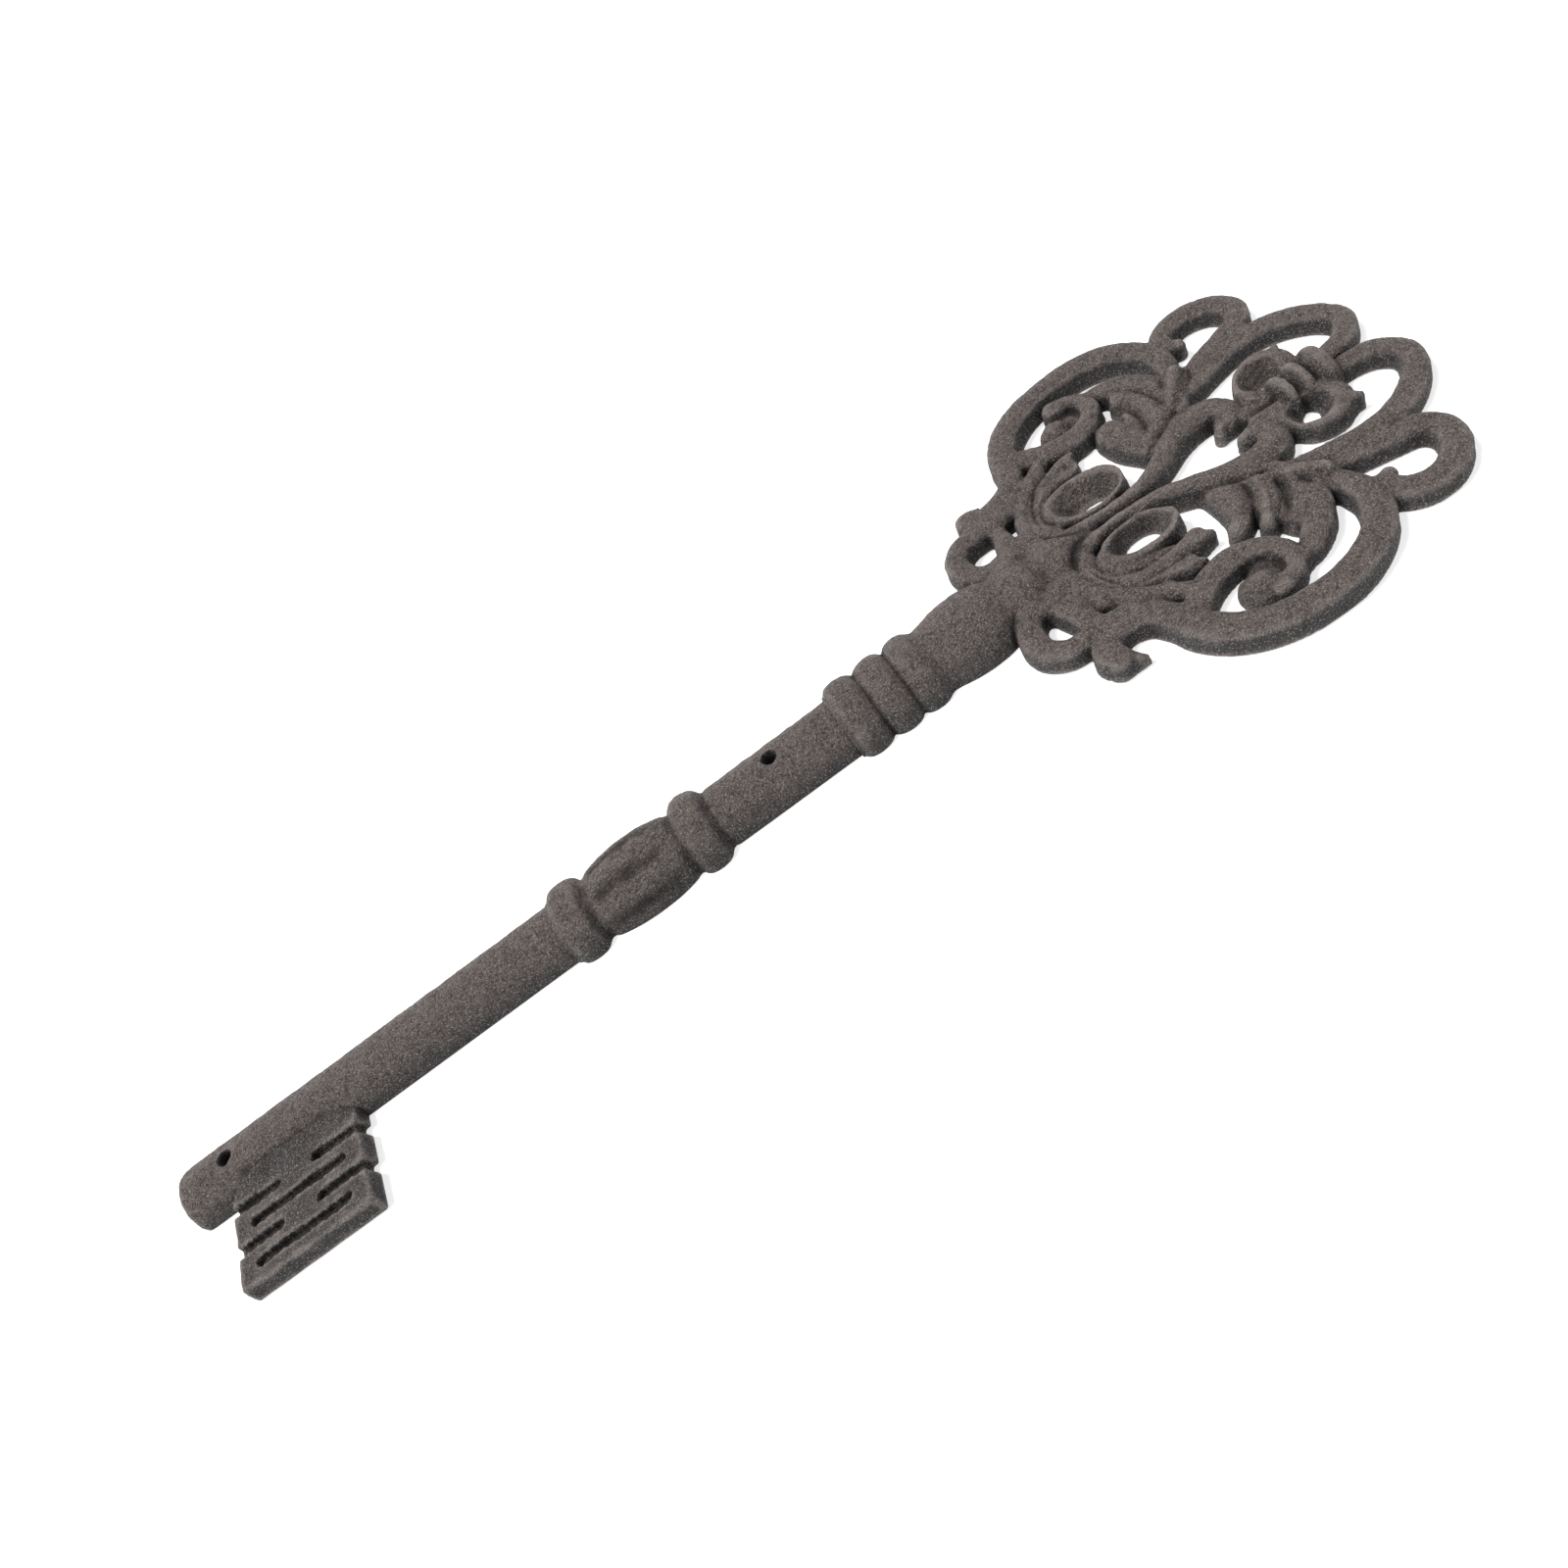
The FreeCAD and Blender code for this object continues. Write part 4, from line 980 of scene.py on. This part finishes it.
def lay_bit():
    ruler, out, z = BIT.x + RULER_ZERO, -BIT.y, BIT.z
    drift = (0.22 * np.sin(ruler / 3.1) * np.cos(out / 4.3)
             + 0.12 * np.sin(ruler / 1.7 + out / 2.3))
    plate = bit_blank(ruler, out, z, drift)
    shank = np.sqrt(out ** 2 + z ** 2) - stem_radius(ruler)
    inner = np.clip(np.minimum(ruler - BIT_X[0], BIT_X[1] - ruler) / 5, 0.2, 1)
    whole = smooth_low(plate, shank, ROOT_FILLET * inner)
    whole = smooth_high(whole, -bit_cuts(ruler, out, z, drift), CUT_EDGE)
    share = {"bit_plate": plate.astype(np.float32), "front_shank": shank.astype(np.float32)}
    return np.maximum(whole, -z).astype(np.float32), share


bit_clay, bit_share = lay_bit()
print("bit clay:", bit_clay.shape)

# %% [markdown]
# Sharing out the body
#
# The difference between a piece's own distance and the best of all others tells where its border
# runs. OpenVDB then skins each share. Sharing by distance needs no cutting tool, and neighbours get
# the very same border.

# %% Skin each share
BORDER_SINK, BORDER_REACH = 0.25, 1.0


def skin_shares(clay, share, block, wanted):
    names = list(share)
    best = np.full(clay.shape, 1e3, dtype=np.float32)
    second, owner = best.copy(), np.zeros(clay.shape, dtype=np.int16)
    for k, name in enumerate(names):
        own = share[name]
        wins = own < best
        second = np.where(wins, best, np.minimum(second, own))
        owner[wins] = k
        best = np.minimum(best, own)
    made = {}
    for name in wanted:
        border = share[name] - np.where(owner == names.index(name), second, best)
        sunk = clay + BORDER_SINK * np.clip(border, 0, 1)
        field = np.maximum(sunk, 0.8 * (border - BORDER_REACH))
        made[name] = mesh_from_field(name, field, block)
    return made


wanted_of_bow = [name for name in bow_share if name != "neck_baluster"]
clay_pieces = skin_shares(bow_clay, bow_share, BOW, wanted_of_bow)
clay_pieces.update(skin_shares(bit_clay, bit_share, BIT, ["bit_plate"]))
print({name: len(piece.data.polygons) for name, piece in clay_pieces.items()})

# %% [markdown]
# Hollows and crowns
#
# Shade is painted where the iron is hollow, and wear with a painted highlight where it stands
# proud. Both follow from how much iron lies round a point: about half on a flat face, more in a
# corner, less on an edge. The whole key is put into the common grid, blurred with a box, and read
# at every vertex.

# %% Measure hollow and crown
TIP, HOLE_RADIUS = -2.2, 1.4
# Half the side of each blurring box, in grid steps, and its part in the measure
BLURS = [(2, 0.45), (5, 0.55)]


def whole_key():
    """How much of each grid cell is iron, from 0 to 1."""
    everything = Block(GRID_LOW, GRID_LOW + PITCH * (np.array(GRID_SIZE) - 1))
    beyond_tip = float(to_x(TIP)) - everything.x
    field = np.maximum(stem_distance(everything), beyond_tip).astype(np.float32)
    for clay, block in ((bow_clay, BOW), (bit_clay, BIT)):
        field[block.slices] = np.minimum(field[block.slices], clay)
    for ruler in HOLES.values():
        away = np.hypot(everything.x - float(to_x(ruler)), everything.y)
        field = np.maximum(field, HOLE_RADIUS - away)
    return np.clip(0.5 - field / PITCH, 0, 1).astype(np.float32)


def box_blur(values, half):
    for axis in range(3):
        pad = [(half + 1, half) if k == axis else (0, 0) for k in range(3)]
        total = np.cumsum(np.pad(values, pad, mode="edge"), axis=axis, dtype=np.float64)
        ahead = np.take(total, range(2 * half + 1, total.shape[axis]), axis=axis)
        behind = np.take(total, range(0, total.shape[axis] - 2 * half - 1), axis=axis)
        values = ((ahead - behind) / (2 * half + 1)).astype(np.float32)
    return values


def read_grid(values, spots):
    """Values between the grid's points, for an array of places in millimetres."""
    at = np.clip((spots - GRID_LOW) / PITCH, 0, np.array(GRID_SIZE) - 1.001)
    low, part = at.astype(int), at - at.astype(int)
    out = 0
    for corner in range(8):
        step = [(corner >> k) & 1 for k in range(3)]
        weight = np.prod([part[:, k] if step[k] else 1 - part[:, k] for k in range(3)], axis=0)
        out = out + weight * values[tuple(low[:, k] + step[k] for k in range(3))]
    return out


iron_amount = whole_key()
blurred = [(box_blur(iron_amount, half), part) for half, part in BLURS]
print("iron in the grid:", round(float(iron_amount.sum()) * PITCH ** 3 / 1000, 1), "cm3")

# %% [markdown]
# Skin, measure and hand over
#
# Every piece gets its cast skin and its two measured attributes, rides on the key's body and stands
# for its node. The turned pieces and the clay pieces go through the same steps, so that the iron is
# one all over.

# %% Finish every piece
# How much of the painted top light the bit gets, and how strongly up-facing faces take it
BIT_CROWN, CROWN_GAIN = 0.45, 1.15


def write_measure(mesh, name, values):
    layer = mesh.attributes.new(name, "FLOAT", "POINT")
    layer.data.foreach_set("value", values.astype(np.float32))


def measure_crown(node, mesh):
    """How far each point faces up: the mask of the painted top light, weaker on the bit."""
    normals = np.empty(len(mesh.vertices) * 3, dtype=np.float32)
    mesh.vertex_normals.foreach_get("vector", normals)
    part = BIT_CROWN if node == "bit_plate" else 1.0
    return part * np.clip(normals.reshape(-1, 3)[:, 2] * CROWN_GAIN, 0, 1)


pieces = {**turned_pieces, **clay_pieces}
for node, piece in pieces.items():
    face_outward(piece.data)
    run_tree(piece, SKIN, {**SKIN_SIZES, "Iron": IRON})
    mesh = piece.data
    if "radius" in mesh.attributes:
        mesh.attributes.remove(mesh.attributes["radius"])
    finish_mesh(mesh)
    spots = points_of(mesh) / MM
    write_measure(mesh, "hollow", sum(part * read_grid(blur, spots) for blur, part in blurred))
    write_measure(mesh, "crown", measure_crown(node, mesh))
    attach(piece, "root")
    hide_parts(node)
print(len(pieces), "pieces,", sum(len(p.data.polygons) for p in pieces.values()), "faces")

# %% [markdown]
# Floor and light
#
# The picture shows the key on a white ground in soft light from above. The floor is plain and pale
# and keeps the shadow. The white that the camera and reflections see round the key comes from the
# floor's and the world's own colour, never from more light on the iron.

# %% Floor and lamps
FLOOR_HALF, FLOOR_DROP, FLOOR_SHADE, FLOOR_GLOW = 3.0, 0.0002, (0.8, 0.8, 0.8, 1), 0.7
WHITE, SKY_LIGHT, SEEN_WHITE = (1, 1, 1, 1), 0.23, 1.0
SEEING_RAYS = ("Is Camera Ray", "Is Glossy Ray", "Is Transmission Ray")


def background_bench(owner):
    """A bench for a material or world, and a mask that is 1 for the rays that see it."""
    owner.use_nodes = True
    owner.node_tree.nodes.clear()
    bench = Bench(owner.node_tree)
    ray = bench.add("ShaderNodeLightPath")
    camera, glossy, through = (Wire(bench, ray.outputs[name]) for name in SEEING_RAYS)
    return bench, camera + glossy + through


def make_floor():
    corners = [(x * FLOOR_HALF, y * FLOOR_HALF, 0)
               for x, y in ((-1, -1), (1, -1), (1, 1), (-1, 1))]
    floor = make_object("floor", corners, [(0, 1, 2, 3)])
    floor.location.z = -FLOOR_DROP
    paint = bpy.data.materials.new("pale_floor")
    bench, seen = background_bench(paint)
    matt = bench.wire("ShaderNodeBsdfDiffuse", {}, {"Color": FLOOR_SHADE})
    glow = bench.wire("ShaderNodeEmission", {}, {"Color": WHITE, "Strength": FLOOR_GLOW})
    both = bench.wire("ShaderNodeAddShader", {}, {0: matt, 1: glow})
    pick = bench.wire("ShaderNodeMixShader", {}, {0: seen, 1: matt, 2: both})
    bench.add("ShaderNodeOutputMaterial", {}, {"Surface": pick})
    floor.data.materials.append(paint)


def make_world():
    world = bpy.data.worlds.new("studio")
    bench, seen = background_bench(world)
    sky, white = (bench.wire("ShaderNodeBackground", {}, {"Color": WHITE, "Strength": strength})
                  for strength in (SKY_LIGHT, SEEN_WHITE))
    pick = bench.wire("ShaderNodeMixShader", {}, {0: seen, 1: sky, 2: white})
    bench.add("ShaderNodeOutputWorld", {}, {"Surface": pick})
    bpy.context.scene.world = world


def add_sun(name, source, spread, strength):
    """A soft sun: a wide lamp so far away that it lights the whole floor alike."""
    light = bpy.data.lights.new(name, "SUN")
    light.angle, light.energy = math.radians(spread), strength
    lamp = add_to_scene(name, light)
    lamp.rotation_euler = Vector(source).to_track_quat("Z", "Y").to_euler()
    lamp.location = Vector(source)


make_floor()
make_world()
add_sun("overhead", (-0.48, 0.16, 1.0), 20.0, 2.95)
print("lamps:", [lamp.name for lamp in bpy.data.lights])

# %% [markdown]
# The camera
#
# The picture was taken from above the shank, close to the bow, with the camera turned so that the
# key runs across the frame from corner to corner. Its place was found by fitting the outline. The
# numbers below are that fit: a point that the camera looks at, its spot in the picture, a distance
# and three angles.

# %% The camera
AZIMUTH, ELEVATION, ROLL = 5.6667, 48.2339, -40.4841
LOOKED_AT, SEEN_AT, DISTANCE = (118.9, 0, 0), (1209.7377, 492.4464), 270.24
FOCAL, PICTURE, SENSOR, NEAR_CLIP = 1200.03, 1600, 36.0, 0.01


def place_camera():
    azimuth, elevation, roll = (math.radians(v) for v in (AZIMUTH, ELEVATION, ROLL))
    back = Vector((math.sin(azimuth) * math.cos(elevation),
                   -math.cos(azimuth) * math.cos(elevation), math.sin(elevation)))
    across = (-back).cross(Vector((0, 0, 1))).normalized()
    down = (-back).cross(across)
    right = across * math.cos(roll) - down * math.sin(roll)
    low = across * math.sin(roll) + down * math.cos(roll)
    off_x, off_y = ((seen - PICTURE / 2) / FOCAL for seen in SEEN_AT)
    spot = Vector(LOOKED_AT) - (right * off_x + low * off_y - back) * DISTANCE
    lens = bpy.data.cameras.new("camera")
    lens.sensor_width, lens.lens = SENSOR, SENSOR * FOCAL / PICTURE
    lens.clip_start = NEAR_CLIP
    camera = add_to_scene("camera", lens)
    turn = Matrix((right, -low, back)).transposed()
    camera.matrix_world = Matrix.Translation(spot * MM) @ turn.to_4x4()
    bpy.context.scene.camera = camera
    return spot


print("camera at", [round(v, 1) for v in place_camera()], "mm")
bpy.context.scene.view_settings.view_transform = "Standard"
